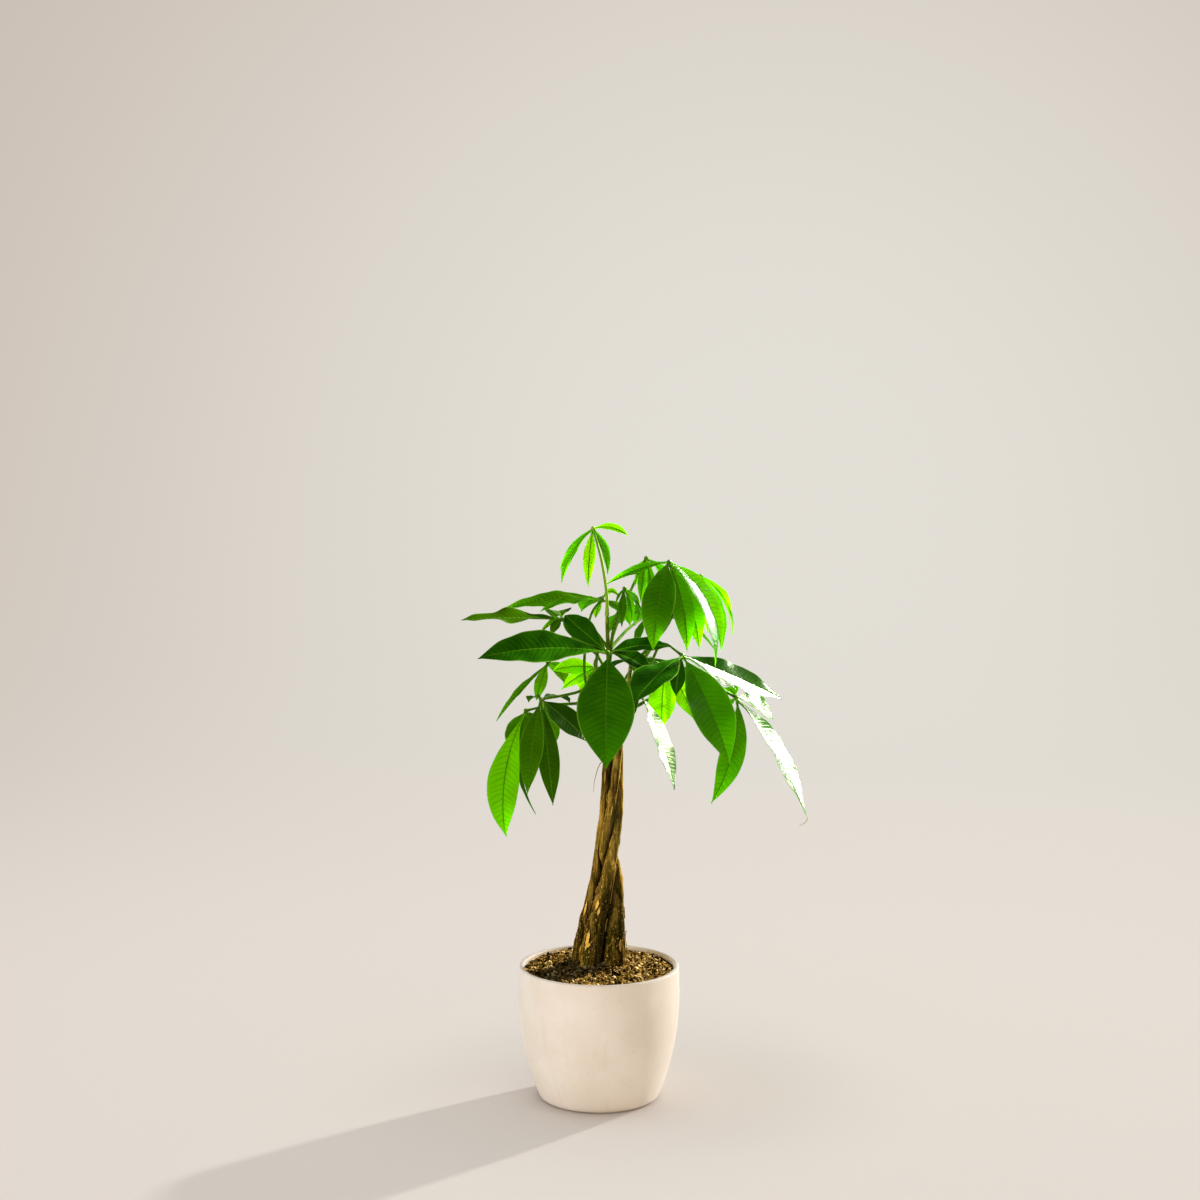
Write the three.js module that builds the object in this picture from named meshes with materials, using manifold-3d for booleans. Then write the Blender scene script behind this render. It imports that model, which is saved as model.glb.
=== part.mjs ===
// A potted money tree: five braided trunks with green shoots and palmate leaves, in soil in a tapered pot.
// Millimetres, +Z up, -Y towards the viewer. The origin is the centre of the pot's flat underside.
import * as THREE from "three";
import { mergeVertices } from "three/addons/utils/BufferGeometryUtils.js";
import Module from "manifold-3d";

const wasm = await Module();
wasm.setup();

// Driving dimensions
const GAP = 0.3; // between touching pieces
const MERGE_DISTANCE = 1e-4;
const POT_SIDES = 36;
const POT_HEIGHT = 139;
const RIM_RADIUS = 82.5;
const BELLY_RADIUS = 83.2; // widest, a little below the rim
const BELLY_HEIGHT = 112;
const FOOT_RADIUS = 58; // of the flat the pot stands on
const FOOT_EDGE = 3; // from that flat out to the side's lower end
const TAPER_POWER = 2.15; // above 2 keeps the side upright for longer
const LIP = 1.6; // bevel of the rim's edges
const WALL = 5;
const FLOOR = 8;
const OUTSIDE_LEVELS = [4, 15, 30, 50, 75, 105];
const INSIDE_LEVELS = [FLOOR, 30, 60, 105];
const SOIL_DROP = 5; // of the soil's edge below the rim
const MOUND_HEIGHT = 7; // of the soil round the trunks, over its edge
const MOUND_CENTRE = [1, 16];
const MOUND_SPREAD = 44;
const LUMP_HEIGHT = 0.8;
const SOIL_RINGS = 5;

const TRUNK_SIDES = 9;
const TRUNK_STEP = 10; // height of one loft step
const TRUNK_FOOT = 92; // of the buried end
const TRUNK_TOP = 366;
const LEVEL_STEP = 35; // between the heights that the lists below are given for, from TRUNK_FOOT up
const TRUNK_RADII = [10, 13.2, 11.3, 8.6, 6.8, 5.5, 4.9, 4.6, 4.4];
const SEAM = 1; // between two trunks that are pressed together

// Each trunk's centre at each level, and how thick it is beside the others
const TRUNKS = {
  left: {
    girth: 0.8,
    centres: [[-22, 20], [-20.5, 20], [-16, 18], [-9.5, 13], [-3, 11], [1, 10.5], [5, 11], [7, 11], [9, 11]],
  },
  front: {
    girth: 1,
    centres: [[-12, 4], [-10, 4], [-6, 4], [1, 3], [9, 3], [16, 5], [20, 10], [20, 14], [20, 18]],
  },
  right: {
    girth: 1,
    centres: [[16, 4], [15, 4], [16, 6], [17, 9], [17, 13], [9, 18.5], [5.5, 19.5], [8, 21], [10, 22]],
  },
  back: {
    girth: 0.9,
    centres: [[-3, 39], [-3, 37], [-2, 30], [-1, 22], [2, 16], [5.8, 4.5], [12, 3.5], [17, 5], [21, 8]],
  },
  inner: {
    girth: 0.85,
    centres: [[22, 31], [20, 29], [16, 26], [11, 25], [9, 24], [8.5, 27.5], [13, 26], [18, 24], [18, 28]],
  },
};

// The green shoot on each trunk: the points it grows through above the trunk's top
const SHOOT_SIDES = 7;
const SHOOT_STEPS = 8;
const SHOOT_SAMPLES = 60;
const SHOOT_FOOT_RADIUS = 3.3;
const SHOOT_TIP_RADIUS = 2;
const SHOOT_UPRIGHT = 8; // height of its straight foot
const SHOOTS = {
  left: [[3, 5, 395], [-2, -1, 430], [-4, -6, 458]],
  front: [[33, 22, 405], [40, 25, 432], [45, 26, 456]],
  right: [[10, 42, 400], [10, 50, 440], [15, 53, 482]],
  back: [[26, 3, 405], [31, -1, 440], [34, -3, 462]],
  inner: [[14, 20, 400], [10, 14, 450], [8, 11, 505]],
};

// Blades
const BLADE_THICK = 0.8;
const STALK_SHARE = 0.06; // of a leaflet's length, before the blade widens
const STALK_HALF_WIDTH = 1;
const TIP_HALF_WIDTH = 0.45;
const WIDEST = 1; // above 1 moves the widest place towards the tip
const FOLD = THREE.MathUtils.degToRad(12); // of each half up from the midrib
const WAVE = 0.03; // of the width, of the margin's waves
const WAVES = 2.5;
const BEND_START = 0.3; // share of the length at which the curve's inner points stand
const ARCH = 0.1; // of a leaflet's length, where its row gives no bow
const WIDTH = 0.34; // of a leaflet's length, where neither its row nor its leaf says otherwise
const LONG_LEAFLET = 80;
const SHORT_LEAFLET = 48;
const STEPS_LONG = 6;
const STEPS_MIDDLE = 5;
const STEPS_SHORT = 4;

const PETIOLE_SIDES = 5;
const PETIOLE_STEPS = 6;
const PETIOLE_FOOT_RADIUS = 1.8;
const PETIOLE_TIP_RADIUS = 1.15;
const HUB_RADIUS = 2.4;

// Each leaf: the shoot and height that its stalk leaves from, the points that the stalk bends through,
// the hub where the leaflets meet, and its leaflets. A leaflet has the tip's place from the hub, the bow
// of its middle away from the straight line, the way its upper face looks, and its width as a share of
// its length.
const LEAVES = {
  top: {
    from: ["inner", 500],
    through: [[8, 10, 520], [3, 7, 555]],
    hub: [-6, 5, 590],
    width: 0.22,
    leaflets: [
      { tip: [-34, -6, -42] },
      { tip: [-32, -26, -53] },
      { tip: [-5, -27, -57], width: 0.2 },
      { tip: [15, -14, -46] },
      { tip: [16, 17, -45] },
      { tip: [36, 3, -8], bow: [1, 0, 5], face: [0, -0.7, 0.7], width: 0.27 },
    ],
  },
  crest_front: {
    from: ["back", 450],
    through: [[52, -6, 471], [73, -8, 500], [76, -6, 535]],
    hub: [71, -5, 557],
    width: 0.25,
    leaflets: [
      { tip: [-64, 8, -24], bow: [0, 0, 4], face: [-0.2, -0.5, 0.8], width: 0.2 },
      { tip: [-17, -40, -86], bow: [-3, -9, 3], face: [-0.1, -1, 0.3], width: 0.35, widest: 0.86 },
      { tip: [18, -14, -90], bow: [4, -5, 3], face: [0.1, -1, 0.2] },
      { tip: [32, 16, -92], bow: [5, 2, 5], face: [0.2, -1, 0.2] },
      { tip: [46, -30, -104], bow: [11, -5, 8], face: [0.9, -0.4, 0.3], width: 0.22 },
      { tip: [54, 14, -92], bow: [10, 2, 9], face: [0.6, -0.7, 0.4] },
      { tip: [-16, 34, -60], bow: [-2, 8, 4] },
    ],
  },
  crest_back: {
    from: ["front", 450],
    through: [[72, 40, 490], [95, 55, 520]],
    hub: [106, 62, 536],
    width: 0.26,
    leaflets: [
      { tip: [27, 22, -42], bow: [5, 4, 4] },
      { tip: [28, -4, -58], bow: [6, -1, 4] },
      { tip: [22, -20, -74], bow: [5, -5, 3] },
      { tip: [-8, -22, -64], bow: [-2, -6, 3] },
      { tip: [10, 50, -66], bow: [3, 9, 5] },
    ],
  },
  crest_inner: {
    from: ["right", 476],
    through: [[28, 54, 510], [42, 52, 542]],
    hub: [49, 50, 556],
    width: 0.2,
    leaflets: [
      { tip: [-12, -12, -28], bow: [-2, -2, 1], width: 0.16 },
      { tip: [-6, -22, -44], bow: [-1, -3, 1] },
      { tip: [8, -16, -52], bow: [1, -3, 1] },
      { tip: [30, 36, -44], bow: [4, 5, 4], width: 0.28 },
      { tip: [-4, 48, -44], bow: [0, 6, 4], width: 0.28 },
    ],
  },
  young: {
    from: ["inner", 445],
    through: [[15, 11, 487]],
    hub: [26, 10, 528],
    width: 0.22,
    leaflets: [
      { tip: [-9, -8, -15] },
      { tip: [-3, -18, -37] },
      { tip: [8, 12, -35] },
      { tip: [20, -5, -38] },
      { tip: [16, 25, -24] },
    ],
  },
  upper_left: {
    from: ["left", 402],
    through: [[-13, 11, 430], [-14, 16, 469], [-7, 28, 502]],
    hub: [3, 35, 514],
    leaflets: [
      { tip: [-103, 25, -12], bow: [0, 0, 4], face: [-0.1, -0.35, 0.9], width: 0.3 },
      { tip: [-63, -26, -9], bow: [0, 0, 5], face: [0, -0.15, 1], wave: 0.08 },
      { tip: [-22, 72, -20], bow: [0, 2, 6] },
      { tip: [30, 62, -34], bow: [3, 4, 5] },
      { tip: [18, 4, 2], bow: [0, 0, 8], face: [0.2, -0.7, 0.7], width: 0.36 },
      { tip: [-7, -10, -18], bow: [-1, -2, 0], width: 0.4 },
    ],
  },
  outer_left: {
    from: ["inner", 468],
    through: [[-10, 27, 487]],
    hub: [-38, 25, 495],
    leaflets: [
      { tip: [-103, -15, 1], bow: [0, 0, 2], face: [0, -0.22, 1], width: 0.35, wave: 0.08 },
      { tip: [-11, -12, -15], bow: [-1, -1, 2], face: [-0.2, -1, 0.4], width: 0.45 },
      { tip: [-24, 30, -19], bow: [0, 2, 3], face: [-0.1, -0.6, 0.8], width: 0.36 },
      { tip: [-10, 84, -10], bow: [0, 0, 9] },
      { tip: [24, 50, -20], bow: [2, 2, 5] },
    ],
  },
  fore: {
    from: ["left", 452],
    through: [[1, -22, 472]],
    hub: [9, -40, 469],
    width: 0.4,
    leaflets: [
      { tip: [-129, -25, -3], bow: [0, -4, 8], face: [0, -0.62, 0.78], width: 0.34, widest: 1.1 },
      { tip: [-44, 50, 32], bow: [-5, 0, 4], face: [-0.1, -0.75, 0.65], width: 0.42 },
      { tip: [-41, 60, 6], bow: [0, 0, 3], face: [-0.1, -0.7, 0.7], width: 0.36 },
      { tip: [-2, -65, -106], bow: [-1, -9, 5], face: [-0.05, -0.9, 0.4], width: 0.47, widest: 0.94 },
      { tip: [64, 14, 4], bow: [0, 0, 4], face: [0, -0.5, 0.85], width: 0.36 },
      { tip: [46, 12, -26], bow: [2, 0, 5], face: [0.2, -0.7, 0.7], width: 0.42 },
    ],
  },
  fore_right: {
    from: ["back", 422],
    through: [[50, -6, 448], [64, -11, 474]],
    hub: [84, -25, 464],
    width: 0.34,
    leaflets: [
      { tip: [-50, -80, -36], bow: [-1, -8, 5], face: [-0.3, -0.6, 0.75], width: 0.4 },
      { tip: [45, -60, -101], bow: [3, -4, 4], face: [0.1, -0.85, 0.5], width: 0.35 },
      { tip: [105, 50, -52], bow: [0, 0, 2], face: [0.45, -0.25, 0.85], width: 0.28 },
      { tip: [56, 24, -38], bow: [1, 0, 2], face: [0.6, -0.5, 0.7], width: 0.34 },
      { tip: [-6, 16, -44], bow: [-1, 2, 0], face: [-0.1, -1, 0.1] },
    ],
  },
  low_right: {
    from: ["front", 402],
    through: [[80, 26, 424], [120, 18, 424]],
    hub: [141, 10, 416],
    leaflets: [
      { tip: [70, -25, -116], bow: [5, 0, 4], face: [0.8, -0.4, 0.5], width: 0.27 },
      { tip: [-26, -12, -108], bow: [10, 0, 2], face: [0.1, -1, 0.15], width: 0.24, widest: 1.1 },
      { tip: [40, 28, -28], bow: [1, 0, 5], face: [0.2, -0.6, 0.75], width: 0.5 },
      { tip: [-14, 60, -2], bow: [0, 0, 6] },
      { tip: [-20, 44, -40], bow: [-2, 4, 4] },
    ],
  },
  mid_right: {
    from: ["front", 424],
    through: [[55, 24, 442]],
    hub: [69, 20, 445],
    width: 0.38,
    leaflets: [
      { tip: [-4, -12, -61], bow: [-2, -3, 0], face: [-0.1, -1, 0.1], width: 0.46 },
      { tip: [29, 4, -54], bow: [2, -2, 3], face: [0.2, -1, 0.3] },
      { tip: [38, 60, -30], bow: [3, 4, 7] },
      { tip: [0, 74, -20], bow: [0, 3, 8] },
    ],
  },
  low_inner: {
    from: ["back", 396],
    through: [[34, -3, 414]],
    hub: [43, -5, 422],
    leaflets: [
      { tip: [34, -15, -97], bow: [1, -2, 1], face: [0.6, -0.75, 0.3], width: 0.27 },
      { tip: [-26, -14, -12], bow: [-1, -1, 3] },
      { tip: [-18, -24, -34], bow: [-2, -2, 1] },
    ],
  },
  low_left: {
    from: ["left", 438],
    through: [[-16, -4, 426], [-40, -8, 420]],
    hub: [-59, -10, 417],
    leaflets: [
      { tip: [-13, -35, -91], bow: [-2, -5, 2], face: [-0.1, -1, 0.2], width: 0.25 },
      { tip: [12, -2, -109], bow: [1, -3, 0], face: [0.1, -1, 0.1], width: 0.21 },
      { tip: [11, 26, -56], bow: [2, 2, 0], face: [0.2, -1, 0.1] },
      { tip: [50, -35, -39], bow: [0, -3, 3], face: [0.2, -0.8, 0.55], width: 0.38 },
      { tip: [29, 44, -10], bow: [2, 3, 5] },
      { tip: [-14, 36, -8], bow: [-1, 3, 4] },
    ],
  },
  hanging_left: {
    from: ["left", 418],
    through: [[-18, 0, 412], [-48, 4, 409]],
    hub: [-75, 5, 403],
    leaflets: [
      { tip: [-20, -10, -129], bow: [-11, -3, 0], face: [-0.2, -1, 0.1], width: 0.26, widest: 1.2 },
      { tip: [9, 20, -112], bow: [-12, 2, 0], face: [-1, 0, 0.1], width: 0.18 },
      { tip: [-12, 50, -60], bow: [-3, 6, 4] },
      { tip: [18, 50, -50], bow: [2, 6, 4] },
    ],
  },
  back_left: {
    from: ["right", 432],
    through: [[-6, 60, 457], [-34, 56, 462]],
    hub: [-53, 45, 447],
    leaflets: [
      { tip: [-55, 10, -63], bow: [-1, -1, 2], face: [-0.7, -0.25, 0.6], width: 0.2 },
      { tip: [-12, -10, -38], bow: [-1, -1, 0], face: [-0.2, -1, 0.1], width: 0.32 },
      { tip: [16, 60, -30], bow: [1, 3, 6] },
      { tip: [-20, 66, 0], bow: [-1, 0, 6] },
    ],
  },
  low_back: {
    from: ["inner", 398],
    through: [[-2, 30, 418]],
    hub: [-2, 50, 441],
    width: 0.4,
    leaflets: [
      { tip: [-47, -6, -2], bow: [0, 0, 3], face: [-0.1, -0.8, 0.6] },
      { tip: [-37, -4, -22], bow: [0, 0, 3], face: [-0.2, -0.8, 0.6] },
      { tip: [-14, 70, -40], bow: [-1, 4, 7] },
      { tip: [18, 66, -44], bow: [2, 4, 5] },
    ],
  },
  rear_high: {
    from: ["right", 462],
    through: [[30, 78, 478]],
    hub: [54, 108, 492],
    leaflets: [
      { tip: [-44, 66, -30], bow: [-3, 3, 9] },
      { tip: [-14, 92, -24], bow: [0, 5, 11] },
      { tip: [50, 74, -34], bow: [3, 4, 10] },
      { tip: [70, 2, -40], bow: [4, 0, 9] },
      { tip: [-16, -8, -44], bow: [-2, -1, 2] },
    ],
  },
  rear: {
    from: ["right", 396],
    through: [[24, 72, 420]],
    hub: [40, 96, 444],
    leaflets: [
      { tip: [-44, 44, -34], bow: [-3, 3, 7] },
      { tip: [6, 80, -34], bow: [0, 5, 9] },
      { tip: [50, 50, -30], bow: [3, 3, 8] },
      { tip: [34, -8, -32], bow: [2, 0, 5] },
    ],
  },
};

const at = ([x, y, z]) => new THREE.Vector3(x, y, z);

// A trunk's middle line, passing each level's centre
function trunkCurve({ centres }) {
  const points = centres.map(([x, y], level) => at([x, y, TRUNK_FOOT + level * LEVEL_STEP]));
  return new THREE.CatmullRomCurve3(points, false, "catmullrom");
}

const trunkNames = Object.keys(TRUNKS);
const trunkCurves = Object.fromEntries(trunkNames.map((name) => [name, trunkCurve(TRUNKS[name])]));

// A trunk's centre and radius at height z
function trunkAt(name, z) {
  const level = (z - TRUNK_FOOT) / LEVEL_STEP;
  const last = TRUNK_RADII.length - 1;
  const below = Math.min(Math.floor(level), last - 1);
  const radius = THREE.MathUtils.lerp(TRUNK_RADII[below], TRUNK_RADII[below + 1], level - below);
  return { centre: trunkCurves[name].getPoint(level / last), radius: radius * TRUNKS[name].girth };
}

// A closed mesh through rings of equally many points, capped at both ends
function loft(rings) {
  const sides = rings[0].length;
  const positions = rings.flat().flatMap((p) => [p.x, p.y, p.z]);
  const faces = [];
  rings.slice(1).forEach((ring, r) => {
    for (let s = 0; s < sides; s++) {
      const low = r * sides + s;
      const lowNext = r * sides + ((s + 1) % sides);
      faces.push(low, lowNext, low + sides, lowNext, lowNext + sides, low + sides);
    }
  });
  const last = (rings.length - 1) * sides;
  for (let s = 1; s < sides - 1; s++) {
    faces.push(0, s + 1, s, last, last + s, last + s + 1);
  }
  const geometry = new THREE.BufferGeometry();
  geometry.setAttribute("position", new THREE.Float32BufferAttribute(positions, 3));
  geometry.setIndex(faces);
  return geometry;
}

function solid(geometry) {
  const bare = new THREE.BufferGeometry();
  bare.setAttribute("position", geometry.getAttribute("position"));
  bare.setIndex(geometry.index);
  const merged = mergeVertices(bare, MERGE_DISTANCE);
  const mesh = new wasm.Mesh({
    numProp: 3,
    vertProperties: merged.attributes.position.array,
    triVerts: new Uint32Array(merged.index.array),
  });
  return new wasm.Manifold(mesh);
}

function geometryOf(manifold) {
  const { vertProperties, triVerts } = manifold.getMesh();
  const geometry = new THREE.BufferGeometry();
  geometry.setAttribute("position", new THREE.BufferAttribute(vertProperties, 3));
  geometry.setIndex(new THREE.BufferAttribute(triVerts, 1));
  geometry.computeVertexNormals();
  return geometry;
}

// A tapered round tube along a curve: radius is a function of the share of its length
function tube(curve, sides, steps, radius) {
  const frames = curve.computeFrenetFrames(steps, false);
  const rings = [];
  for (let i = 0; i <= steps; i++) {
    const share = i / steps;
    const centre = curve.getPointAt(share);
    const ring = [];
    for (let s = 0; s < sides; s++) {
      const angle = (2 * Math.PI * s) / sides;
      ring.push(
        centre
          .clone()
          .addScaledVector(frames.normals[i], radius(share) * Math.cos(angle))
          .addScaledVector(frames.binormals[i], radius(share) * Math.sin(angle)),
      );
    }
    rings.push(ring);
  }
  return loft(rings);
}

// The pot's outer radius at height z: nearly upright above, drawn in to the foot by a rounded taper
function potRadius(z) {
  if (z >= BELLY_HEIGHT) {
    return THREE.MathUtils.mapLinear(z, BELLY_HEIGHT, POT_HEIGHT, BELLY_RADIUS, RIM_RADIUS);
  }
  const drop = (BELLY_HEIGHT - z) / BELLY_HEIGHT;
  return BELLY_RADIUS - (BELLY_RADIUS - FOOT_RADIUS - FOOT_EDGE) * drop ** TAPER_POWER;
}

function potProfile() {
  return [
    [0, 0],
    [FOOT_RADIUS, 0],
    ...OUTSIDE_LEVELS.map((z) => [potRadius(z), z]),
    [RIM_RADIUS, POT_HEIGHT - LIP],
    [RIM_RADIUS - LIP, POT_HEIGHT],
    [RIM_RADIUS - WALL + LIP, POT_HEIGHT],
    [RIM_RADIUS - WALL, POT_HEIGHT - LIP],
    ...INSIDE_LEVELS.map((z) => [potRadius(z) - WALL, z]).reverse(),
    [0, FLOOR],
  ];
}

// Turns a profile of radius and height about the vertical axis
function turned(profile) {
  const points = profile.map(([r, z]) => new THREE.Vector2(r, z));
  return new THREE.LatheGeometry(points, POT_SIDES).rotateX(Math.PI / 2);
}

function soilHeight(x, y) {
  const edge = POT_HEIGHT - SOIL_DROP;
  const away = Math.hypot(x - MOUND_CENTRE[0], y - MOUND_CENTRE[1]) / MOUND_SPREAD;
  const lumps = Math.sin(x * 0.31 + 1.3) * Math.cos(y * 0.27) + 0.7 * Math.sin(x * 0.17 - y * 0.41);
  return edge + MOUND_HEIGHT * Math.exp(-away * away) + LUMP_HEIGHT * lumps;
}

// The soil, clear of the pot's wall and floor, with its top raised round the trunks
function soilSolid() {
  const top = POT_HEIGHT - SOIL_DROP;
  const edge = RIM_RADIUS - WALL - 2 * GAP;
  const bottom = FLOOR + GAP;
  const wall = INSIDE_LEVELS.map((z) => [potRadius(z) - WALL - GAP, Math.max(z, bottom)]);
  const profile = [[0, bottom], ...wall];
  for (let i = 0; i < SOIL_RINGS; i++) {
    profile.push([edge * (1 - i / SOIL_RINGS), top]);
  }
  const geometry = turned([...profile, [0, top]]);
  const points = geometry.attributes.position;
  for (let i = 0; i < points.count; i++) {
    if (points.getZ(i) > top - 1) points.setZ(i, soilHeight(points.getX(i), points.getY(i)));
  }
  return solid(geometry);
}

// A trunk's outline at height z: round, but pressed flat where it meets another trunk
function trunkRing(name, z, grow) {
  const { centre, radius } = trunkAt(name, z);
  const others = trunkNames.filter((other) => other !== name).map((other) => trunkAt(other, z));
  const ring = [];
  for (let s = 0; s < TRUNK_SIDES; s++) {
    const angle = (2 * Math.PI * s) / TRUNK_SIDES;
    const way = new THREE.Vector3(Math.cos(angle), Math.sin(angle), 0);
    let reach = radius;
    for (const other of others) {
      const between = other.centre.clone().sub(centre);
      const apart = between.length();
      const facing = way.dot(between) / apart;
      const border = (apart * apart + radius * radius - other.radius * other.radius) / (2 * apart) - SEAM / 2;
      if (facing > 0) reach = Math.min(reach, border / facing);
    }
    ring.push(centre.clone().addScaledVector(way, reach + grow));
  }
  return ring;
}

function trunkGeometry(name, grow = 0) {
  const foot = TRUNK_FOOT - grow;
  const steps = Math.round((TRUNK_TOP - foot) / TRUNK_STEP);
  const rings = [];
  for (let i = 0; i <= steps; i++) {
    const z = foot + ((TRUNK_TOP - foot) * i) / steps;
    const ring = trunkRing(name, Math.max(z, TRUNK_FOOT), grow);
    rings.push(ring.map((p) => p.setZ(z)));
  }
  return loft(rings);
}

// A shoot's middle line, upright at its foot so that it sits flat on the trunk
function shootCurve(name) {
  const { x, y } = trunkAt(name, TRUNK_TOP).centre;
  const foot = TRUNK_TOP + GAP;
  return new THREE.CatmullRomCurve3([[x, y, foot], [x, y, foot + SHOOT_UPRIGHT], ...SHOOTS[name]].map(at));
}

function shootGeometry(name, grow = 0) {
  const radius = (share) => THREE.MathUtils.lerp(SHOOT_FOOT_RADIUS, SHOOT_TIP_RADIUS, share) + grow;
  return tube(shootCurve(name), SHOOT_SIDES, SHOOT_STEPS, radius);
}

// The point of a shoot's middle line at height z
function shootPoint(name, z) {
  const points = shootCurve(name).getSpacedPoints(SHOOT_SAMPLES);
  return points.reduce((best, p) => (Math.abs(p.z - z) < Math.abs(best.z - z) ? p : best));
}

// Half the width of a blade at a share of its length, as a share of its widest half width
function bladeOutline(share, widest) {
  const along = THREE.MathUtils.clamp((share - STALK_SHARE) / (1 - STALK_SHARE), 0, 1);
  return Math.sin(Math.PI * along ** widest);
}

// One leaflet: a thin arched blade from the hub to its tip, folded a little along the midrib
function leafletGeometry(hub, leaflet) {
  const reach = at(leaflet.tip);
  const length = reach.length();
  const level = new THREE.Vector3(reach.y, -reach.x, 0).normalize();
  const outward = level.cross(reach).normalize();
  const bow = leaflet.bow ? at(leaflet.bow) : outward.clone().multiplyScalar(ARCH * length);
  const face = leaflet.face ? at(leaflet.face) : outward;
  const curve = new THREE.CubicBezierCurve3(
    hub,
    hub.clone().addScaledVector(reach, BEND_START).addScaledVector(bow, 4 / 3),
    hub.clone().addScaledVector(reach, 1 - BEND_START).addScaledVector(bow, 4 / 3),
    hub.clone().add(reach),
  );
  let steps = STEPS_MIDDLE;
  if (length > LONG_LEAFLET) steps = STEPS_LONG;
  if (length < SHORT_LEAFLET) steps = STEPS_SHORT;
  const width = length * leaflet.width;
  const rings = [];
  for (let i = 0; i <= steps; i++) {
    const share = i / steps;
    const centre = curve.getPoint(share);
    const tangent = curve.getTangent(share);
    const side = tangent.clone().cross(face).normalize();
    const normal = side.clone().cross(tangent);
    const outline = bladeOutline(share, leaflet.widest ?? WIDEST);
    const half = Math.max((width / 2) * outline, i < steps ? STALK_HALF_WIDTH : TIP_HALF_WIDTH);
    const wave = (leaflet.wave ?? WAVE) * width * Math.sin(2 * Math.PI * WAVES * share) * outline;
    const edge = (sign) =>
      centre
        .clone()
        .addScaledVector(side, sign * half * Math.cos(FOLD))
        .addScaledVector(normal, half * Math.sin(FOLD) + sign * wave);
    const top = [edge(-1), centre.clone(), edge(1)];
    const under = top.map((p) => p.clone().addScaledVector(normal, -BLADE_THICK));
    rings.push([...top, ...under.reverse()]);
  }
  return loft(rings);
}

function petioleCurve(leaf) {
  const [shoot, height] = leaf.from;
  return new THREE.CatmullRomCurve3([shootPoint(shoot, height), ...leaf.through.map(at), at(leaf.hub)]);
}

// A leaf: its stalk, cut to sit on the shoot, the hub, and the leaflets, fused in one body
function leafSolid(leaf) {
  const radius = (share) => THREE.MathUtils.lerp(PETIOLE_FOOT_RADIUS, PETIOLE_TIP_RADIUS, share);
  const stalk = solid(tube(petioleCurve(leaf), PETIOLE_SIDES, PETIOLE_STEPS, radius));
  const hub = at(leaf.hub);
  const knob = solid(new THREE.IcosahedronGeometry(HUB_RADIUS, 0).translate(hub.x, hub.y, hub.z));
  const blades = leaf.leaflets.map((leaflet) =>
    solid(leafletGeometry(hub, { width: leaf.width ?? WIDTH, ...leaflet })),
  );
  const fused = blades.reduce((whole, blade) => whole.add(blade), stalk.add(knob));
  return fused.subtract(solid(shootGeometry(leaf.from[0], GAP)));
}

const finishes = {
  pot: new THREE.MeshStandardMaterial({ color: 0xe6d9c8, roughness: 0.6, metalness: 0 }),
  soil: new THREE.MeshStandardMaterial({ color: 0x2e2114, roughness: 0.95, metalness: 0 }),
  bark: new THREE.MeshStandardMaterial({ color: 0x6b5130, roughness: 0.85, metalness: 0 }),
  shoot: new THREE.MeshStandardMaterial({ color: 0x3f7a1c, roughness: 0.5, metalness: 0 }),
  leaf: new THREE.MeshStandardMaterial({ color: 0x2f8c12, roughness: 0.38, metalness: 0 }),
};

const plant = new THREE.Group();

function addPiece(name, geometry, finish) {
  const mesh = new THREE.Mesh(geometry, finishes[finish]);
  mesh.name = name;
  plant.add(mesh);
}

// The soil has a plain hole for each trunk
function addPotAndSoil() {
  const sunk = trunkNames.map((name) => solid(trunkGeometry(name, GAP)));
  const soil = sunk.reduce((rest, trunk) => rest.subtract(trunk), soilSolid());
  addPiece("pot", turned(potProfile()), "pot");
  addPiece("soil", geometryOf(soil), "soil");
}

function addTrunksAndShoots() {
  for (const name of trunkNames) {
    addPiece(`trunk_${name}`, trunkGeometry(name), "bark");
    addPiece(`shoot_${name}`, shootGeometry(name), "shoot");
  }
}

function addLeaves() {
  for (const [name, leaf] of Object.entries(LEAVES)) {
    addPiece(`leaf_${name}`, geometryOf(leafSolid(leaf)), "leaf");
  }
}

addPotAndSoil();
addTrunksAndShoots();
addLeaves();

export default plant;
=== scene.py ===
import math
from functools import cache

import bpy
import numpy as np
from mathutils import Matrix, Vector, noise


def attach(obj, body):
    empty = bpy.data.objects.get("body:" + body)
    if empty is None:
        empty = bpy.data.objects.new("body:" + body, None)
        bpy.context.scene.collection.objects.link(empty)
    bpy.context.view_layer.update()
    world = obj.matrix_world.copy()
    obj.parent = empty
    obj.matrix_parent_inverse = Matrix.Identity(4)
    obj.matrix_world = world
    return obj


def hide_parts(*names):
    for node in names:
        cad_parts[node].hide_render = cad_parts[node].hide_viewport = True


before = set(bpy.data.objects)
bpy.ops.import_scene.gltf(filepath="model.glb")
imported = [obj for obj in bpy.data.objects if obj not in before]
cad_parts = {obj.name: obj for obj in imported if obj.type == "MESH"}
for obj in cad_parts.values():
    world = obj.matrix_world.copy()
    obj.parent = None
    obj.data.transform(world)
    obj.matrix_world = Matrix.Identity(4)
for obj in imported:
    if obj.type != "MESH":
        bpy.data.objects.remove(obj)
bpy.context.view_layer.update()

MM = 0.001
PIECE_GAP = 0.3
SEED = 7
CURVE_SAMPLES = 400

# Camera: the photograph's angle, in metres and degrees
CAMERA_PLACE = (0.001, -2.262, 0.7592)
CAMERA_PITCH = 6.1
SENSOR = 36
FOCAL_LENGTH = 67.17
CLIP_END = 50

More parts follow.
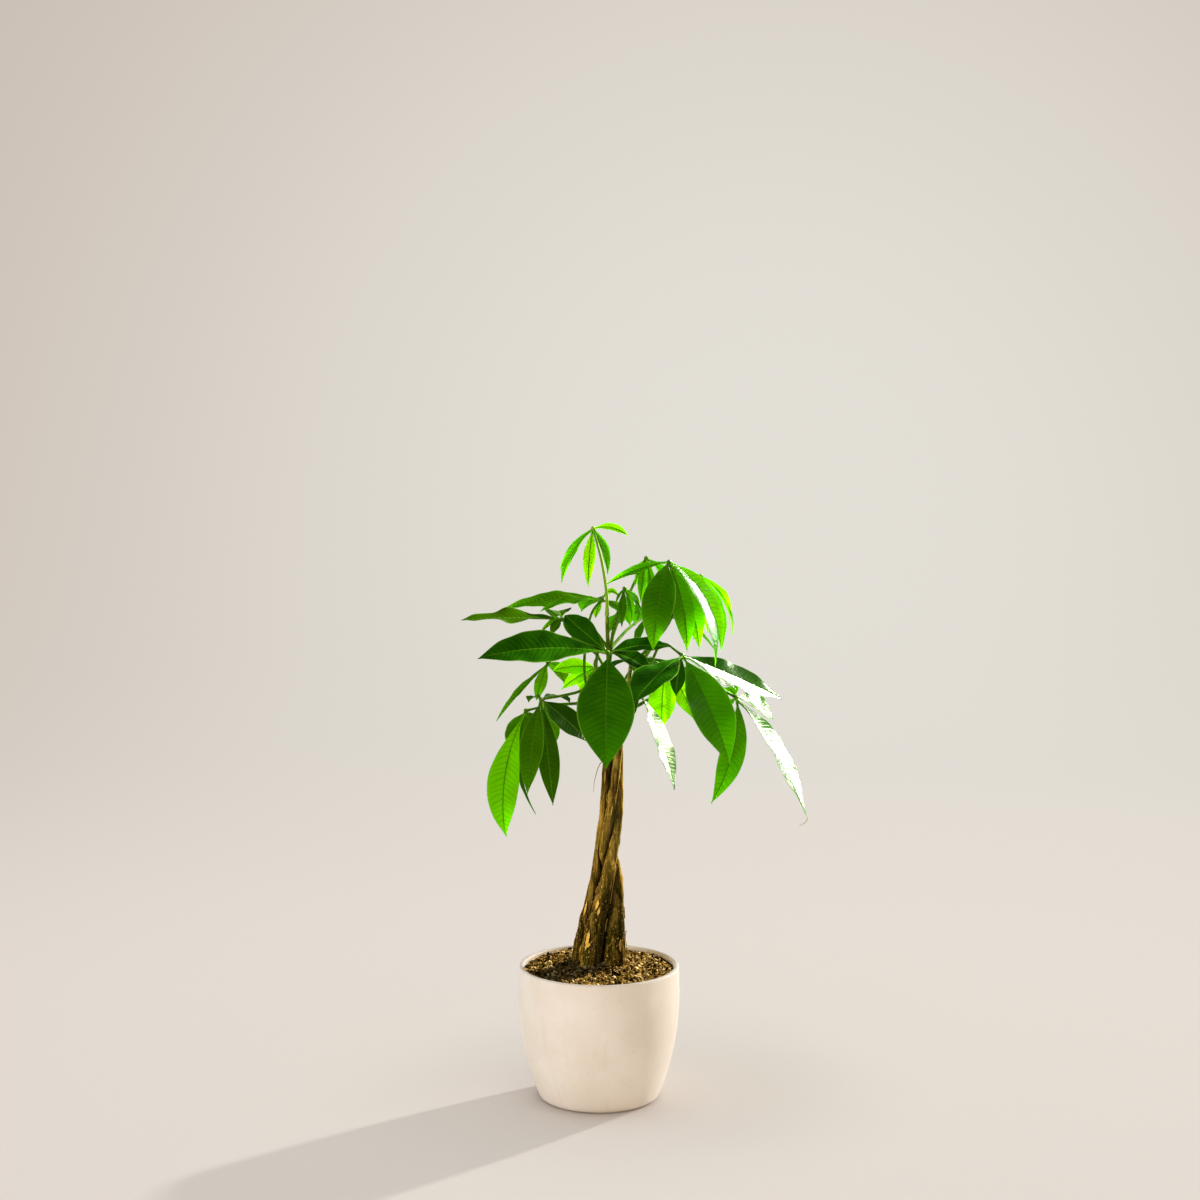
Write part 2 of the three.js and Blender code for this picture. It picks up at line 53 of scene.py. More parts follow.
# Studio: metres, degrees and linear colours
FLOOR_REACH = 3
BEND = 1.4
BEND_STEPS = 13
WALL_TOP = 6
STAGE_SIDES = 96
FLOOR_COLOUR = (0.785, 0.74, 0.71)
FLOOR_FADE = (0.5, 2.4)
# The far backdrop's own glow, painted light, brightest about GLOW_CENTRE and fading to DUSK_COLOUR as painted
# shade
GLOW_SQUEEZE = (1, 0.25, 1)
GLOW_CENTRE = (0.5, 1.05, 0.4)
GLOW_REACH = (0.3, 3.2)
GLOW_COLOUR = (0.765, 0.735, 0.67)
DUSK_COLOUR = (0.58, 0.50, 0.44)
AIR_COLOUR = (1, 0.97, 0.92, 1)
AIR_STRENGTH = 0.36
LIGHT_TARGET = (0.03, 0.02, 0.38)
WARM = (1, 0.93, 0.80)
GOLDEN = (1, 0.83, 0.50)
PALE = (1, 0.965, 0.92)
AMBER = (1, 0.88, 0.66)
HONEY = (1, 0.85, 0.58)
PEACH = (1, 0.76, 0.51)
CREAM = (1, 0.97, 0.955)
ROSY = (1, 0.88, 0.95)

# Pot
POT_SIDES = 160
POT_HEIGHT = 139
RIM_RADIUS = 82.5
BELLY_RADIUS = 83.2
BELLY_HEIGHT = 112
FOOT_RADIUS = 58
FOOT_EDGE = 3
TAPER_POWER = 2.15
WALL = 5
FLOOR = 8
RIM_ROUND = 2.1
ARC_STEPS = 6
OUTSIDE_ROWS = 46
INSIDE_ROWS = 24

# Soil
SOIL_EDGE = 134
SOIL_GAP = 0.6
SOIL_RADIUS = RIM_RADIUS - WALL - SOIL_GAP
SOIL_SIDE_TOP = 128
SOIL_RINGS = 62
SOIL_SIDES = 220
MOUND_HEIGHT = 7
MOUND_CENTRE = (1, 16)
MOUND_SPREAD = 44
LUMP_HEIGHT = 0.8
SOIL_COLOURS = [(0.010, 0.006, 0.001), (0.075, 0.046, 0.009), (0.27, 0.185, 0.068), (0.55, 0.44, 0.24)]
CRUMBS = 3000
CRUMB_REACH = RIM_RADIUS - WALL - 2.5
FIBRES = 420
FIBRE_REACH = RIM_RADIUS - WALL - 6
FIBRE_POINTS = 6

# Trunks
TRUNK_SIDES = 56
TRUNK_STEP = 2.2
TRUNK_FOOT = 92
TRUNK_TOP = 366
LEVEL_STEP = 35
TRUNK_RADII = [10, 13.2, 11.3, 8.6, 6.8, 5.6, 5.1, 5.0, 4.7]
TRUNK_GIRTHS = {"left": 0.8, "front": 1, "right": 1, "back": 0.9, "inner": 0.85}
LEVELS = np.arange(len(TRUNK_RADII))
SEAM = 0.2
# Heights where the bark turns from dark old bark below to paler young bark above: partly real, partly painted
# shade on the lower trunk
FRESH_AND_LIT_BARK = (168, 300)
ROUND_PASSES = 14

# The middle of each trunk, level by level
TRUNKS = {
    "left": [(-22, 20), (-20.5, 20), (-16, 18), (-9.5, 13), (-3, 11), (1, 10.5), (5, 11), (7, 11), (9, 11)],
    "front": [(-12, 4), (-10, 4), (-6, 4), (1, 3), (9, 3), (16, 5), (20, 10), (20, 14), (20, 18)],
    "right": [(16, 4), (15, 4), (16, 6), (17, 9), (17, 13), (9, 18.5), (6, 19.5), (9, 21), (11, 22)],
    "back": [(-3, 39), (-3, 37), (-2, 30), (-1, 22), (2, 16), (5.8, 4.5), (12, 3.5), (17, 5), (21, 8)],
    "inner": [(22, 31), (20, 29), (16, 26), (11, 25), (9, 24), (8.5, 27.5), (13, 26), (18, 24), (18, 28)],
}

# Loose flakes of each trunk: the height, the turn in degrees from +X, the width and the length.
# Their pale colour is partly their own and partly painted highlight; the long thin strip on the front trunk
# at (222, 350) stands for a sunlit edge
SHARD_THICK = 0.6
SHARDS = {
    "left": [
        (215, 305, 2, 9), (152, 262, 2.5, 12), (185, 150, 4, 12), (334, 258, 1.6, 15), (312, 300, 1.4, 8),
        (196, 236, 2, 18),
    ],
    "front": [
        (203, 242, 3.2, 11), (166, 236, 3.6, 22), (161, 246, 5, 5), (180, 338, 2, 14), (222, 350, 1.3, 40),
        (247, 286, 2.2, 7), (243, 302, 2, 10), (196, 262, 2.5, 9),
    ],
    "right": [
        (165, 356, 3, 16), (148, 0, 3, 14), (190, 20, 3, 12), (328, 318, 1.3, 12), (160, 300, 2.5, 12),
    ],
    "back": [(190, 60, 5, 12), (150, 120, 4, 14), (300, 280, 1.5, 14)],
    "inner": [(170, 75, 5, 16), (230, 40, 3, 9)],
}

# Thin dry rootlets that hang off a trunk
THREAD_STEPS = 14
THREAD_RADII = (0.5, 0.2)
THREADS = {"left": [[(5, 9, 352), (0, 6, 346), (-3, 5, 337), (-5, 5, 328), (-5.6, 5, 319)]]}

# Shoots
SHOOT_SIDES = 20
SHOOT_STEPS = 70
SHOOT_UPRIGHT = 8
SHOOT_RADII = (3.3, 2)
COLLAR = 0.9
COLLAR_HEIGHT = 4
SHOOTS = {
    "left": [(3, 5, 395), (-2, -1, 430), (-4, -6, 458)],
    "front": [(33, 22, 405), (40, 25, 432), (45, 26, 456)],
    "right": [(10, 42, 400), (10, 50, 440), (15, 53, 482)],
    "back": [(26, 3, 405), (31, -1, 440), (34, -3, 462)],
    "inner": [(14, 20, 400), (10, 14, 450), (8, 11, 505)],
}

# Leaves
SHEEN = (0.5, 1, 0.15)
BLADE_THICK = 0.55
STALK_SHARE = 0.06
STALK_HALF_WIDTH = 1
TIP_HALF_WIDTH = 0.12
FOLD = math.radians(12)
WAVE = 0.03
WAVES = 2.5
BEND_START = 0.3
ARCH = 0.1
WIDTH = 0.34
HALF_COLUMNS = 8
VEIN_GAP = 1.9
VEIN_GAP_GROWTH = 0.026
ROWS_PER_VEIN = 4
PETIOLE_SIDES = 12
PETIOLE_STEPS = 36
PETIOLE_RADII = (1.8, 1.15)
HUB_RADIUS = 2.28


def tip(x, y, z, bow=None, face=None, width=None, widest=1, wave=WAVE):
    """A leaflet: its tip from the hub, the bow of its middle, the way its face looks, and its outline."""
    return dict(tip=(x, y, z), bow=bow, face=face, width=width, widest=widest, wave=wave)


def palm(shoot, height, through, hub, width, *leaflets):
    """A leaf: where its stalk leaves its shoot, the points it bends through, its hub and its leaflets."""
    return dict(stem=(shoot, height), through=through, hub=hub, width=width, leaflets=leaflets)


LEAVES = {
    "top": palm(
        "inner", 500, [(8, 10, 520), (3, 7, 555)], (-6, 5, 590), 0.22,
        tip(-34, -6, -42),
        tip(-32, -26, -53),
        tip(-5, -27, -57, width=0.2),
        tip(15, -14, -46),
        tip(16, 17, -45),
        tip(36, 3, -8, (1, 0, 5), (0, -0.7, 0.7), 0.27),
    ),
    "crest_front": palm(
        "back", 450, [(52, -6, 471), (73, -8, 500), (76, -6, 535)], (71, -5, 557), 0.25,
        tip(-64, 8, -24, (0, 0, 4), (-0.2, -0.5, 0.8), 0.2),
        tip(-17, -40, -86, (-3, -9, 3), (-0.1, -1, 0.3), 0.35, widest=0.86),
        tip(18, -14, -90, (4, -5, 3), (0.1, -1, 0.2)),
        tip(32, 16, -92, (5, 2, 5), (0.2, -1, 0.2)),
        tip(46, -30, -104, (11, -5, 8), (0.9, -0.4, 0.3), 0.18),
        tip(54, 14, -92, (10, 2, 9), (0.6, -0.7, 0.4)),
        tip(-16, 34, -60, (-2, 8, 4)),
    ),
    "crest_back": palm(
        "front", 450, [(72, 40, 490), (95, 55, 520)], (106, 62, 536), 0.26,
        tip(32, 22, -44, (6, 4, 4)),
        tip(34, -4, -62, (8, -1, 4)),
        tip(22, -20, -74, (5, -5, 3)),
        tip(-8, -22, -64, (-2, -6, 3)),
        tip(10, 50, -66, (3, 9, 5)),
    ),
    "crest_inner": palm(
        "right", 476, [(28, 54, 510), (42, 52, 542)], (49, 50, 556), 0.2,
        tip(-12, -12, -28, (-2, -2, 1), width=0.16),
        tip(-6, -22, -44, (-1, -3, 1)),
        tip(8, -16, -52, (1, -3, 1)),
        tip(30, 36, -44, (4, 5, 4), width=0.28),
        tip(-4, 48, -44, (0, 6, 4), width=0.28),
    ),
    "young": palm(
        "inner", 445, [(15, 11, 487)], (26, 10, 528), 0.22,
        tip(-9, -8, -15),
        tip(-3, -18, -37),
        tip(8, 12, -35),
        tip(20, -5, -38),
        tip(16, 25, -24),
    ),
    "upper_left": palm(
        "left", 402, [(-13, 11, 430), (-14, 16, 469), (-7, 28, 502)], (3, 35, 514), WIDTH,
        tip(-103, 25, -12, (0, 0, 4), (-0.1, -0.35, 0.9), 0.3),
        tip(-63, -26, -9, (0, 0, 5), (0, -0.15, 1), wave=0.08),
        tip(-22, 72, -20, (0, 2, 6)),
        tip(30, 62, -34, (3, 4, 5)),
        tip(18, 4, 2, (0, 0, 8), (0.2, -0.7, 0.7), 0.36),
        tip(-7, -10, -18, (-1, -2, 0), width=0.4),
    ),
    "outer_left": palm(
        "inner", 468, [(-10, 27, 487)], (-38, 25, 495), WIDTH,
        tip(-103, -15, 1, (0, 0, 2), (0, -0.22, 1), 0.35, wave=0.08),
        tip(-11, -12, -15, (-1, -1, 2), (-0.2, -1, 0.4), 0.45),
        tip(-24, 30, -19, (0, 2, 3), (-0.1, -0.6, 0.8), 0.36),
        tip(-10, 84, -10, (0, 0, 9)),
        tip(24, 50, -20, (2, 2, 5)),
    ),
    "fore": palm(
        "left", 452, [(1, -22, 472)], (9, -40, 469), 0.4,
        tip(-129, -25, -3, (0, -4, 8), (0, -0.62, 0.78), 0.34, widest=1.1),
        tip(-44, 50, 32, (-5, 0, 4), (-0.1, -0.75, 0.65), 0.36),
        tip(-41, 60, 6, (0, 0, 3), (-0.1, -0.7, 0.7), 0.36),
        tip(-2, -65, -106, (-1, -9, 5), (-0.05, -0.9, 0.4), 0.47, widest=1.05),
        tip(64, 14, 4, (0, 0, 4), (0, -0.5, 0.85), 0.36),
        tip(46, 12, -26, (2, 0, 5), (0.2, -0.7, 0.7), 0.42),
    ),
    "fore_right": palm(
        "back", 422, [(50, -6, 448), (64, -11, 474)], (84, -25, 464), 0.34,
        tip(-50, -80, -36, (-1, -8, 5), (-0.3, -0.6, 0.75), 0.44, widest=1.15),
        tip(45, -60, -101, (3, -4, 4), (0.1, -0.85, 0.5), 0.35),
        tip(105, 50, -52, (0, 0, 2), (0.66, -0.62, 0.5), 0.22, wave=0.06),
        tip(56, 24, -38, (1, 0, 2), (0.6, -0.5, 0.7), 0.34),
        tip(-6, 16, -44, (-1, 2, 0), (-0.1, -1, 0.1)),
    ),
    "low_right": palm(
        "front", 402, [(80, 26, 424), (120, 18, 424)], (141, 10, 416), WIDTH,
        tip(70, -25, -116, (5, 0, 4), (0.8, -0.4, 0.5), 0.27),
        tip(-26, -12, -108, (10, 0, 2), (0.1, -1, 0.15), 0.24, widest=1.1),
        tip(40, 28, -28, (1, 0, 5), (0.2, -0.6, 0.75), 0.5),
        tip(-14, 60, -2, (0, 0, 6)),
        tip(-20, 44, -40, (-2, 4, 4)),
    ),
    "mid_right": palm(
        "front", 424, [(55, 24, 442)], (69, 20, 445), 0.38,
        tip(-4, -12, -61, (-2, -3, 0), (-0.1, -1, 0.1), 0.46),
        tip(29, 4, -54, (2, -2, 3), (0.2, -1, 0.3)),
        tip(38, 60, -30, (3, 4, 7)),
        tip(0, 74, -20, (0, 3, 8)),
    ),
    "low_inner": palm(
        "back", 396, [(34, -3, 414)], (43, -5, 422), WIDTH,
        tip(34, -15, -97, (3, -4, 3), (0.76, -0.54, 0.35), 0.27),
        tip(-26, -14, -12, (-1, -1, 3)),
        tip(-18, -24, -34, (-2, -2, 1)),
    ),
    "low_left": palm(
        "left", 438, [(-16, -4, 426), (-40, -8, 420)], (-59, -10, 417), WIDTH,
        tip(-13, -35, -91, (-2, -5, 2), (-0.1, -1, 0.2), 0.25),
        tip(12, -2, -109, (1, -3, 0), (0.1, -1, 0.1), 0.21),
        tip(11, 26, -56, (2, 2, 0), (0.2, -1, 0.1)),
        tip(50, -35, -39, (0, -3, 3), (0.2, -0.8, 0.55), 0.38),
        tip(29, 44, -10, (2, 3, 5)),
        tip(-14, 36, -8, (-1, 3, 4)),
    ),
    "hanging_left": palm(
        "left", 418, [(-18, 0, 412), (-48, 4, 409)], (-75, 5, 403), WIDTH,
        tip(-20, -10, -129, (-11, -3, 0), (-0.2, -1, 0.1), 0.26, widest=1.2),
        tip(9, 20, -112, (-12, 2, 0), (-1, 0, 0.1), 0.18),
        tip(-12, 50, -60, (-3, 6, 4)),
        tip(18, 50, -50, (2, 6, 4)),
    ),
    "back_left": palm(
        "right", 432, [(-6, 60, 457), (-34, 56, 462)], (-53, 45, 447), WIDTH,
        tip(-55, 10, -63, (-1, -1, 2), (-0.7, -0.25, 0.6), 0.2),
        tip(-12, -10, -38, (-1, -1, 0), (-0.2, -1, 0.1), 0.32),
        tip(16, 60, -30, (1, 3, 6)),
        tip(-20, 66, 0, (-1, 0, 6)),
    ),
    "low_back": palm(
        "inner", 398, [(-2, 30, 418)], (-2, 50, 441), 0.4,
        tip(-47, -6, -2, (0, 0, 3), (-0.1, -0.8, 0.6)),
        tip(-37, -4, -22, (0, 0, 3), (-0.2, -0.8, 0.6)),
        tip(-14, 70, -40, (-1, 4, 7)),
        tip(18, 66, -44, (2, 4, 5)),
    ),
    "rear_high": palm(
        "right", 462, [(30, 78, 478)], (54, 108, 492), WIDTH,
        tip(-44, 66, -30, (-3, 3, 9)),
        tip(-14, 92, -24, (0, 5, 11)),
        tip(50, 74, -34, (3, 4, 10)),
        tip(70, 2, -40, (4, 0, 9)),
        tip(-16, -8, -44, (-2, -1, 2)),
    ),
    "rear": palm(
        "right", 396, [(24, 72, 420)], (40, 96, 444), WIDTH,
        tip(-44, 44, -34, (-3, 3, 7)),
        tip(6, 80, -34, (0, 5, 9)),
        tip(50, 50, -30, (3, 3, 8)),
        tip(34, -8, -32, (2, 0, 5)),
    ),
}

# Thin dry tails: the leaflet, counted from 0, and the points of its tail from the leaflet's tip
TAIL_STEPS = 16
TAIL_RADII = (0.55, 0.22)
TAILS = {"low_right": [(0, (1.5, 0, -5), (-1, 0, -9.5), (-7, 0, -13))]}

# How much light comes through the leaflets, counted from 1. 0 stands for those that have no entry.
# It is set leaflet by leaflet as painted light and shade: high for sunlit leaflets, low for shaded ones
GLOWS = {
    "top": {0: 0.8, 3: 1.0, 4: 0.6, 5: 0.6, 6: 1.0},
    "crest_front": {1: 0.6, 2: 0.28, 3: 0.36, 4: 0.45, 5: 0.35, 6: 0.85, 7: 0.2},
    "crest_back": {0: 0.85},
    "crest_inner": {0: 0.55},
    "young": {0: 0.45, 2: 0.25},
    "upper_left": {0: 0.4, 1: 0.5, 2: 0.55, 5: 1.0, 6: 0.85},
    "outer_left": {0: 0.2, 3: 0.75},
    "fore": {0: 0.05, 2: 0.08, 3: 0.08, 4: 0.18},
    "fore_right": {0: 0.04, 2: 0.36, 4: 0.4},
    "low_right": {0: 0.3, 2: 0.4, 4: 1.0, 5: 0.5},
    "mid_right": {0: 0.2, 1: 0.89, 2: 0.9},
    "low_inner": {0: 0.1},
    "low_left": {0: 0.2, 1: 0.28, 2: 0.12, 3: 0.35, 4: 0.05, 5: 0.05},
    "hanging_left": {0: 0.3, 1: 0.76},
    "back_left": {0: 0.5, 4: 0.05},
    "low_back": {0: 0.7, 1: 0.95, 2: 0.85},
    "rear_high": {0: 0.35},
    "rear": {0: 0.1},
}

# More light comes through the tips
TIP_GLOWS = {"crest_front": 0.6, "crest_back": 0.15, "top": 0.15, "hanging_left": 0.05}

# Older leaves are more olive
OLIVE = {"low_left": 0.42, "back_left": 0.6, "hanging_left": 0.35, "outer_left": 0.6, "upper_left": 0.4}

# Young stalks are a paler green
YOUNG_STALKS = {"top": 1, "crest_back": 0.4, "crest_inner": 0.4, "mid_right": 0.3}

# The leaflets that mirror the sun, counted from 1
SHINY = {
    "crest_front": [5, 6],
    "fore_right": [3, 4],
    "low_right": [1, 3],
    "low_inner": [1],
    "low_left": [4],
}


def spline(points, power):
    """A Catmull-Rom curve through the points, as a function of the shares 0 to 1."""
    ends = np.array(points, float)
    ends = np.vstack([2 * ends[0] - ends[1], ends, 2 * ends[-1] - ends[-2]])

    def at(shares):
        shares = np.atleast_1d(shares)
        spans = len(ends) - 3
        first = np.minimum((shares * spans).astype(int), spans - 1)
        w = (shares * spans - first)[:, None]
        a, b, c, d = (ends[first + i] for i in range(4))
        steps = (b - a, c - b, d - c)
        ab, bc, cd = (np.linalg.norm(step, axis=1, keepdims=True) ** power for step in steps)
        leave = ((b - a) / ab - (c - a) / (ab + bc) + (c - b) / bc) * bc
        arrive = ((c - b) / bc - (d - b) / (bc + cd) + (d - c) / cd) * bc
        square = 3 * (c - b) - 2 * leave - arrive
        cube = 2 * (b - c) + leave + arrive
        return b + leave * w + square * w**2 + cube * w**3

    return at


def even_points(curve, steps):
    """Points at equal distances along a curve."""
    dense = curve(np.linspace(0, 1, CURVE_SAMPLES))
    run = np.concatenate([[0], np.cumsum(np.linalg.norm(np.diff(dense, axis=0), axis=1))])
    wanted = np.linspace(0, run[-1], steps + 1)
    return np.stack([np.interp(wanted, run, dense[:, i]) for i in range(3)], axis=1)


def unit(vectors):
    return vectors / np.maximum(np.linalg.norm(vectors, axis=-1, keepdims=True), 1e-12)


def smooth_step(low, high, value):
    share = np.clip((value - low) / (high - low), 0, 1)
    return share * share * (3 - 2 * share)


def noise_of(points, scale):
    """Smooth noise from about -1 to 1 at each point, its grains about scale millimetres."""
    flat = (np.asarray(points, float) / scale).reshape(-1, 3)
    values = np.array([noise.noise(Vector(p)) for p in flat])
    return values.reshape(np.asarray(points).shape[:-1])


class Build:
    """Collects the vertices, faces, vertex values and face materials of one piece."""

    def __init__(self):
        self.points = []
        self.faces = []
        self.slots = []
        self.values = {}
        self.count = 0

    def add(self, points, faces, slot=0, **values):
        points = np.asarray(points, float).reshape(-1, 3)
        self.faces += [[i + self.count for i in face] for face in faces]
        self.slots += [slot] * len(faces)
        self.points.append(points)
        for name, value in values.items():
            filled = np.broadcast_to(np.asarray(value, float).reshape(-1), len(points))
            self.values.setdefault(name, []).append((self.count, filled))
        self.count += len(points)

    def piece(self, name, materials, replaced, slot, crease=50):
        mesh = bpy.data.meshes.new(name)
        mesh.from_pydata((np.vstack(self.points) * MM).tolist(), [], self.faces)
        for value_name, parts in self.values.items():
            whole = np.zeros(self.count, np.float32)
            for start, values in parts:
                whole[start : start + len(values)] = values
            mesh.attributes.new(value_name, "FLOAT", "POINT").data.foreach_set("value", whole)
        mesh.polygons.foreach_set("material_index", np.array(self.slots, np.int32))
        mesh.shade_smooth()
        mesh.set_sharp_from_angle(angle=math.radians(crease))
        for material in materials:
            mesh.materials.append(material)
        made = put(name, mesh)
        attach(made, "root")
        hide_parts(*replaced)
        return made


def put(name, data):
    """A new object of the scene."""
    made = bpy.data.objects.new(name, data)
    bpy.context.scene.collection.objects.link(made)
    return made


def circle(sides):
    """Even angles round a circle."""
    return np.linspace(0, 2 * math.pi, sides, endpoint=False)


def grid_faces(rows, columns, wrap=False, start=0):
    """Quads over rows of points, each row closed in a ring where wrap is set."""
    faces = []
    for r in range(rows - 1):
        for c in range(columns if wrap else columns - 1):
            a = start + r * columns + c
            b = start + r * columns + (c + 1) % columns
            faces.append([a, b, b + columns, a + columns])
    return faces


def tube_faces(rows, sides):
    """The faces of closed rings, with a cap at each end."""
    last = (rows - 1) * sides
    return grid_faces(rows, sides, wrap=True) + [list(range(sides))[::-1], list(range(last, last + sides))]


def sheet_faces(rows, columns):
    """The faces of a thin sheet: its front, its back and the rim between them."""
    count = rows * columns
    faces = grid_faces(rows, columns) + [face[::-1] for face in grid_faces(rows, columns, start=count)]
    rim = list(range(columns)) + [r * columns + columns - 1 for r in range(1, rows)]
    rim += [(rows - 1) * columns + c for c in range(columns - 2, -1, -1)]
    rim += [r * columns for r in range(rows - 2, 0, -1)]
    return faces + [[b, a, a + count, b + count] for a, b in zip(rim, rim[1:] + rim[:1])]


def tube(line, radii, sides):
    """Rings of points round a line, with the faces that join and cap them."""
    line = np.asarray(line, float)
    ways = unit(np.gradient(line, axis=0))
    across = unit(np.cross(ways[0], [0.31, 0.87, 0.38]))
    turns = circle(sides)
    rings = []
    for place, way, radius in zip(line, ways, radii):
        across = unit(across - way * (across @ way))
        other = np.cross(way, across)
        rings.append(place + radius * (np.outer(np.cos(turns), across) + np.outer(np.sin(turns), other)))
    return np.array(rings), tube_faces(len(rings), sides)


def ball(centre, radius, rough, steps=3):
    """A small lumpy ball from a divided octahedron."""
    points = [(1, 0, 0), (0, 1, 0), (-1, 0, 0), (0, -1, 0), (0, 0, 1), (0, 0, -1)]
    faces = [(0, 1, 4), (1, 2, 4), (2, 3, 4), (3, 0, 4), (1, 0, 5), (2, 1, 5), (3, 2, 5), (0, 3, 5)]
    for _ in range(steps):
        middle = {}
        split = []
        for face in faces:
            halves = []
            for i in range(3):
                pair = tuple(sorted((face[i], face[(i + 1) % 3])))
                if pair not in middle:
                    middle[pair] = len(points)
                    points.append(tuple(unit(np.add(points[pair[0]], points[pair[1]]))))
                halves.append(middle[pair])
            split += [(face[i], halves[i], halves[i - 1]) for i in range(3)] + [tuple(halves)]
        faces = split
    points = np.array(points)
    swell = 1 + rough * noise_of(points * radius + centre, radius)
    return np.asarray(centre) + points * radius * swell[:, None], faces


# Pot and soil shapes


def pot_radius(z):
    """The pot's outer radius at a height: nearly upright above, drawn in to the foot below."""
    z = np.asarray(z, float)
    upper = BELLY_RADIUS + (RIM_RADIUS - BELLY_RADIUS) * (z - BELLY_HEIGHT) / (POT_HEIGHT - BELLY_HEIGHT)
    drop = np.clip((BELLY_HEIGHT - z) / BELLY_HEIGHT, 0, 1)
    lower = BELLY_RADIUS - (BELLY_RADIUS - FOOT_RADIUS - FOOT_EDGE) * drop**TAPER_POWER
    return np.where(z >= BELLY_HEIGHT, upper, lower)


def arc(centre_r, centre_z, radius, start, end, steps=ARC_STEPS):
    """Points of a round corner of a profile, between two angles in degrees."""
    angles = np.radians(np.linspace(start, end, steps + 1))
    return [(centre_r + radius * math.cos(a), centre_z + radius * math.sin(a)) for a in angles]


def pot_profile():
    top = POT_HEIGHT - RIM_ROUND
    foot = [(0, 0), (FOOT_RADIUS * 0.6, 0), (FOOT_RADIUS, 0), (FOOT_RADIUS + 1.3, 0.5)]
    outside = [(float(pot_radius(z)), z) for z in np.linspace(2.5, top, OUTSIDE_ROWS)]
    rim = arc(RIM_RADIUS - RIM_ROUND, top, RIM_ROUND, 0, 90)[1:]
    rim += arc(RIM_RADIUS - WALL + RIM_ROUND, top, RIM_ROUND, 90, 180)
    inside = [(float(pot_radius(z)) - WALL, z) for z in np.linspace(top - 3, FLOOR, INSIDE_ROWS)]
    return foot + outside + rim + inside + [(0, FLOOR)]


def turned(profile, sides):
    """A profile of radius and height turned about the vertical axis, with its faces."""
    rows = [(r, z) for r, z in profile if r > 0]
    points = [[(r * math.cos(a), r * math.sin(a), z) for a in circle(sides)] for r, z in rows]
    faces = grid_faces(len(rows), sides, wrap=True)
    points = np.array(points).reshape(-1, 3)
    first, last = len(points), len(points) + 1
    start = (len(rows) - 1) * sides
    for s in range(sides):
        following = (s + 1) % sides
        faces.append([first, following, s])
        faces.append([last, start + s, start + following])
    ends = [(0, 0, profile[0][1]), (0, 0, profile[-1][1])]
    return np.vstack([points, ends]), faces


def make_pot():
    points, faces = turned(pot_profile(), POT_SIDES)
    build = Build()
    build.add(points, faces)
    return build.piece("pot_glazed", [pot_finish()], ["pot"], "pot")


def soil_height(x, y):
    away = np.hypot(x - MOUND_CENTRE[0], y - MOUND_CENTRE[1]) / MOUND_SPREAD
    lumps = np.sin(x * 0.31 + 1.3) * np.cos(y * 0.27) + 0.7 * np.sin(x * 0.17 - y * 0.41)
    return SOIL_EDGE + MOUND_HEIGHT * np.exp(-away * away) + LUMP_HEIGHT * lumps


def soil_grain(x, y):
    """Clods and grains over the soil's plain surface."""
    flat = np.stack([x, y, np.zeros_like(x)], axis=-1)
    clods = np.abs(noise_of(flat, 9))
    grains = noise_of(flat + 50, 3.2)
    fine = noise_of(flat + 90, 1.3)
    return 3.2 * clods - 1.0 + 1.1 * grains + 0.45 * fine


def soil_top(x, y):
    calm = smooth_step(SOIL_RADIUS, SOIL_RADIUS - 3, np.hypot(x, y))
    return soil_height(x, y) + soil_grain(x, y) * (0.25 + 0.75 * calm)


def random_turns(draw, count):
    """Random rotation matrices."""
    first = unit(draw.normal(size=(count, 3)))
    second = unit(np.cross(first, draw.normal(size=(count, 3))))
    return np.stack([first, second, np.cross(first, second)], axis=2)


def add_crumbs(build, draw):
    """Crumbs of earth and bark, sunk a little in the surface."""
    reach = CRUMB_REACH * np.sqrt(draw.random(CRUMBS))
    angle = draw.random(CRUMBS) * 2 * math.pi
    x, y = reach * np.cos(angle), reach * np.sin(angle)
    size = 0.45 + 2.5 * draw.random(CRUMBS) ** 3
    narrow = draw.uniform(0.35, 0.9, CRUMBS)
    low = draw.uniform(0.3, 0.7, CRUMBS)
    stretch = np.stack([np.ones(CRUMBS), narrow, low], axis=1)
    places = np.stack([x, y, soil_top(x, y) + 0.25 * size], axis=1)
    turns = random_turns(draw, CRUMBS)
    shape, faces = ball((0, 0, 0), 1, 0, steps=1)
    tones = draw.random(CRUMBS)
    for i in range(CRUMBS):
        lumpy = shape * draw.uniform(0.7, 1.2, (len(shape), 1)) * stretch[i] * size[i]
        build.add(lumpy @ turns[i].T + places[i], faces, tone=tones[i], crumb=1)


def add_fibres(build, draw):
    """Thin bent roots and fibres that lie on the soil."""
    for _ in range(FIBRES):
        reach = FIBRE_REACH * math.sqrt(draw.random())
        angle, heading, length = draw.random() * 7, draw.random() * 7, draw.uniform(3, 9)
        x, y = reach * math.cos(angle), reach * math.sin(angle)
        steps = np.linspace(-0.5, 0.5, FIBRE_POINTS)
        bend = draw.uniform(-0.25, 0.25)
        along = np.array([math.cos(heading), math.sin(heading)])
        beside = np.array([-along[1], along[0]])
        bent = np.outer(bend * (1 - 4 * steps**2), beside)
        flat = np.array([x, y]) + length * (np.outer(steps, along) + bent)
        rise = soil_top(flat[:, 0], flat[:, 1]).max() + 0.15
        line = np.column_stack([flat, rise - 0.5 * (2 * steps) ** 2])
        rings, faces = tube(line, np.full(FIBRE_POINTS, draw.uniform(0.14, 0.3)), 4)
        build.add(rings, faces, tone=draw.uniform(0.55, 1), crumb=1)


